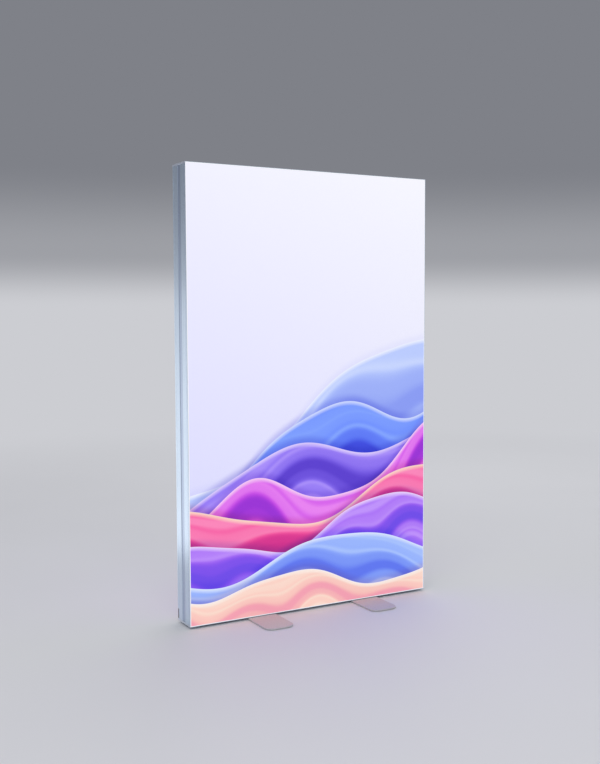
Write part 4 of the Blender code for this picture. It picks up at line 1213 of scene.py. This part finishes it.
class LIGHTBOX_OT_feet(bpy.types.Operator):
    """Finish the swivelling feet with their bolts, washers, nut plates and pads"""

    bl_idname = "lightbox.feet"
    bl_label = "Feet"

    def execute(self, context):
        coat = silver_powder_coat()
        zinc = zinc_plate()
        nylon = moulded_plastic("White nylon, turned", "#d6d6d0", 1.53, (0.4, 0.55), 0.6 * MM)
        rubber = pad_rubber()
        for side, _ in SIDES:
            dress(coat, f"{side}_foot")
            dress(zinc, f"{side}_foot_bolt", f"{side}_foot_nut_plate")
            dress(nylon, f"{side}_foot_washer")
            dress(rubber, f"{side}_foot_front_pad", f"{side}_foot_rear_pad")
        return {"FINISHED"}


# Stage


def studio_floor():
    """Painted studio floor: matt, with faint cloudiness, that fades into the backdrop far away."""
    stage = bpy.context.scene.light_box_stage
    made, tree, shader, place = new_material("Pale floor paint", IOR=1.5)
    cloud = add_node(tree, "TexNoise", {"Vector": place, "Scale": 1.4, "Detail": 5.0})
    tone(shader, stage.floor, 0.015, cloud)
    wander(shader, "Roughness", 0.55, 0.7, cloud)
    # The fade begins 2.2 m from the box and is full at 7.5 m
    away = add_node(tree, "VectorMath", {0: place}, operation="LENGTH")
    fade = add_node(tree, "MapRange", {0: away, 1: 2.2, 2: 7.5}, interpolation_type="SMOOTHSTEP")
    far = add_node(tree, "Emission", {"Color": stage.horizon, "Strength": 1.0})
    mixed = add_node(tree, "MixShader", {0: fade, 1: shader, 2: far})
    feed(next(node for node in tree.nodes if node.type == "OUTPUT_MATERIAL"), 0, mixed)
    return made


class LIGHTBOX_OT_stage(bpy.types.Operator):
    """Set up the floor, backdrop, soft lamps and camera"""

    bl_idname = "lightbox.stage"
    bl_label = "Studio Stage"

    def execute(self, context):
        scene = context.scene
        self.lay_floor(scene)
        self.hang_backdrop(scene)
        self.set_lamps(scene)
        self.set_camera(scene)
        scene.view_settings.view_transform = "Standard"
        return {"FINISHED"}

    def lay_floor(self, scene):
        """A round floor, 60 m in radius."""
        bm = bmesh.new()
        bmesh.ops.create_circle(bm, cap_ends=True, radius=60, segments=96)
        mesh = bpy.data.meshes.new("studio_floor")
        bm.to_mesh(mesh)
        bm.free()
        mesh.materials.append(studio_floor())
        obj = bpy.data.objects.new("studio_floor", mesh)
        scene.collection.objects.link(obj)

    def hang_backdrop(self, scene):
        """A grey backdrop that pales down to the horizon and overhead, seen directly or mirrored."""
        stage = scene.light_box_stage
        world = bpy.data.worlds.new("studio_backdrop")
        scene.world = world
        world.use_nodes = True
        tree = world.node_tree
        tree.nodes.clear()
        direction = add_node(tree, "TexCoord").outputs["Generated"]
        height = add_node(tree, "SeparateXYZ", {0: direction}).outputs[2]
        middle = [(a + 2 * b) / 3 for a, b in zip(stage.horizon, stage.backdrop)]
        stops = (
            (0.0, stage.horizon),
            (0.05, middle),
            (0.13, stage.backdrop),
            (0.34, stage.backdrop),
            (0.72, stage.horizon),
            (1.0, stage.horizon),
        )
        grey = add_node(tree, "ValToRGB", {0: height}, stops)
        grey.color_ramp.interpolation = "EASE"
        seen = add_node(tree, "Background", {"Color": grey, "Strength": 1.0})
        soft = add_node(tree, "Background", {"Color": linear("#fbfbff"), "Strength": stage.soft_light})
        path = add_node(tree, "LightPath").outputs
        camera = path["Is Camera Ray"]
        direct = add_node(tree, "Math", {0: camera, 1: path["Is Glossy Ray"]}, operation="MAXIMUM")
        through = path["Is Transmission Ray"]
        either = add_node(tree, "Math", {0: direct, 1: through}, operation="MAXIMUM")
        mixed = add_node(tree, "MixShader", {0: either, 1: soft, 2: seen})
        add_node(tree, "OutputWorld", {0: mixed})

    def set_lamps(self, scene):
        """Two large lamps, and a card that shines slightly upward and leaves no edge on the floor."""
        stage = scene.light_box_stage
        # Name, place, height aimed at on the box, size, spread in degrees and power
        lamps = (
            ("key_lamp", (-2.8, -3.8, 3.9), 1.0, 5.0, 180, stage.key_power),
            ("fill_lamp", (3.4, 3.4, 3.9), 1.0, 5.0, 180, stage.fill_power),
            ("side_card", (-1.23, 1.56, 0.75), 1.58, 1.6, 60, stage.card_power),
        )
        for name, spot, aim, size, spread, power in lamps:
            light = bpy.data.lights.new(name, "AREA")
            light.shape = "SQUARE"
            light.size = size
            light.spread = math.radians(spread)
            light.energy = power
            lamp = bpy.data.objects.new(name, light)
            lamp.location = spot
            away = Vector(spot) - Vector((0, 0, aim))
            lamp.rotation_euler = away.to_track_quat("Z", "Y").to_euler()
            lamp.visible_camera = False
            scene.collection.objects.link(lamp)

    def set_camera(self, scene):
        """The photograph's camera, solved on the corners of the front graphic."""
        bearing = math.radians(31.36)
        dip = math.radians(-4.06)
        level = math.cos(dip)
        ahead = Vector((math.sin(bearing) * level, math.cos(bearing) * level, math.sin(dip)))
        # In pixels of the photograph: its height, the lens, and how far the view is moved sideways
        image_height = 764
        lens_pixels = 1048.9
        off_middle = 60
        camera = bpy.data.cameras.new("main_camera")
        camera.sensor_width = 36
        camera.lens = camera.sensor_width * lens_pixels / image_height
        camera.shift_x = -off_middle / image_height
        obj = bpy.data.objects.new("main_camera", camera)
        obj.location = (-2.2873, -4.2245, 1.3822)
        obj.rotation_mode = "QUATERNION"
        obj.rotation_quaternion = ahead.to_track_quat("-Z", "Y")
        scene.collection.objects.link(obj)
        scene.camera = obj


class LIGHTBOX_PT_panel(bpy.types.Panel):
    """Sizes, colours and building steps of the light box"""

    bl_idname = "LIGHTBOX_PT_panel"
    bl_label = "Light Box"
    bl_space_type = "VIEW_3D"
    bl_region_type = "UI"
    bl_category = "Light Box"

    def draw(self, context):
        for title, name in zip(("Textiles", "Metal", "Lighting", "Stage"), SETTINGS):
            group = getattr(context.scene, name)
            box = self.layout.box()
            box.label(text=title)
            for setting in group.__annotations__:
                box.prop(group, setting)
        for step in STEPS:
            self.layout.operator(step.bl_idname)


SETTINGS = {
    "light_box_textile": LightBoxTextile,
    "light_box_metal": LightBoxMetal,
    "light_box_lighting": LightBoxLighting,
    "light_box_stage": LightBoxStage,
}
STEPS = (
    LIGHTBOX_OT_textiles,
    LIGHTBOX_OT_gaskets,
    LIGHTBOX_OT_profiles,
    LIGHTBOX_OT_corner_fittings,
    LIGHTBOX_OT_crossbar,
    LIGHTBOX_OT_led_bars,
    LIGHTBOX_OT_driver,
    LIGHTBOX_OT_leads,
    LIGHTBOX_OT_inlet,
    LIGHTBOX_OT_feet,
    LIGHTBOX_OT_stage,
)


def register():
    for made in (*SETTINGS.values(), *STEPS, LIGHTBOX_PT_panel):
        bpy.utils.register_class(made)
    for name, group in SETTINGS.items():
        setattr(bpy.types.Scene, name, PointerProperty(type=group))


def unregister():
    for name in SETTINGS:
        delattr(bpy.types.Scene, name)
    for made in (LIGHTBOX_PT_panel, *reversed(STEPS), *SETTINGS.values()):
        bpy.utils.unregister_class(made)


def main():
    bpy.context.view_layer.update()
    register()
    for step in STEPS:
        group, name = step.bl_idname.split(".")
        getattr(getattr(bpy.ops, group), name)()
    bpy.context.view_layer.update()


if __name__ == "__main__":
    main()
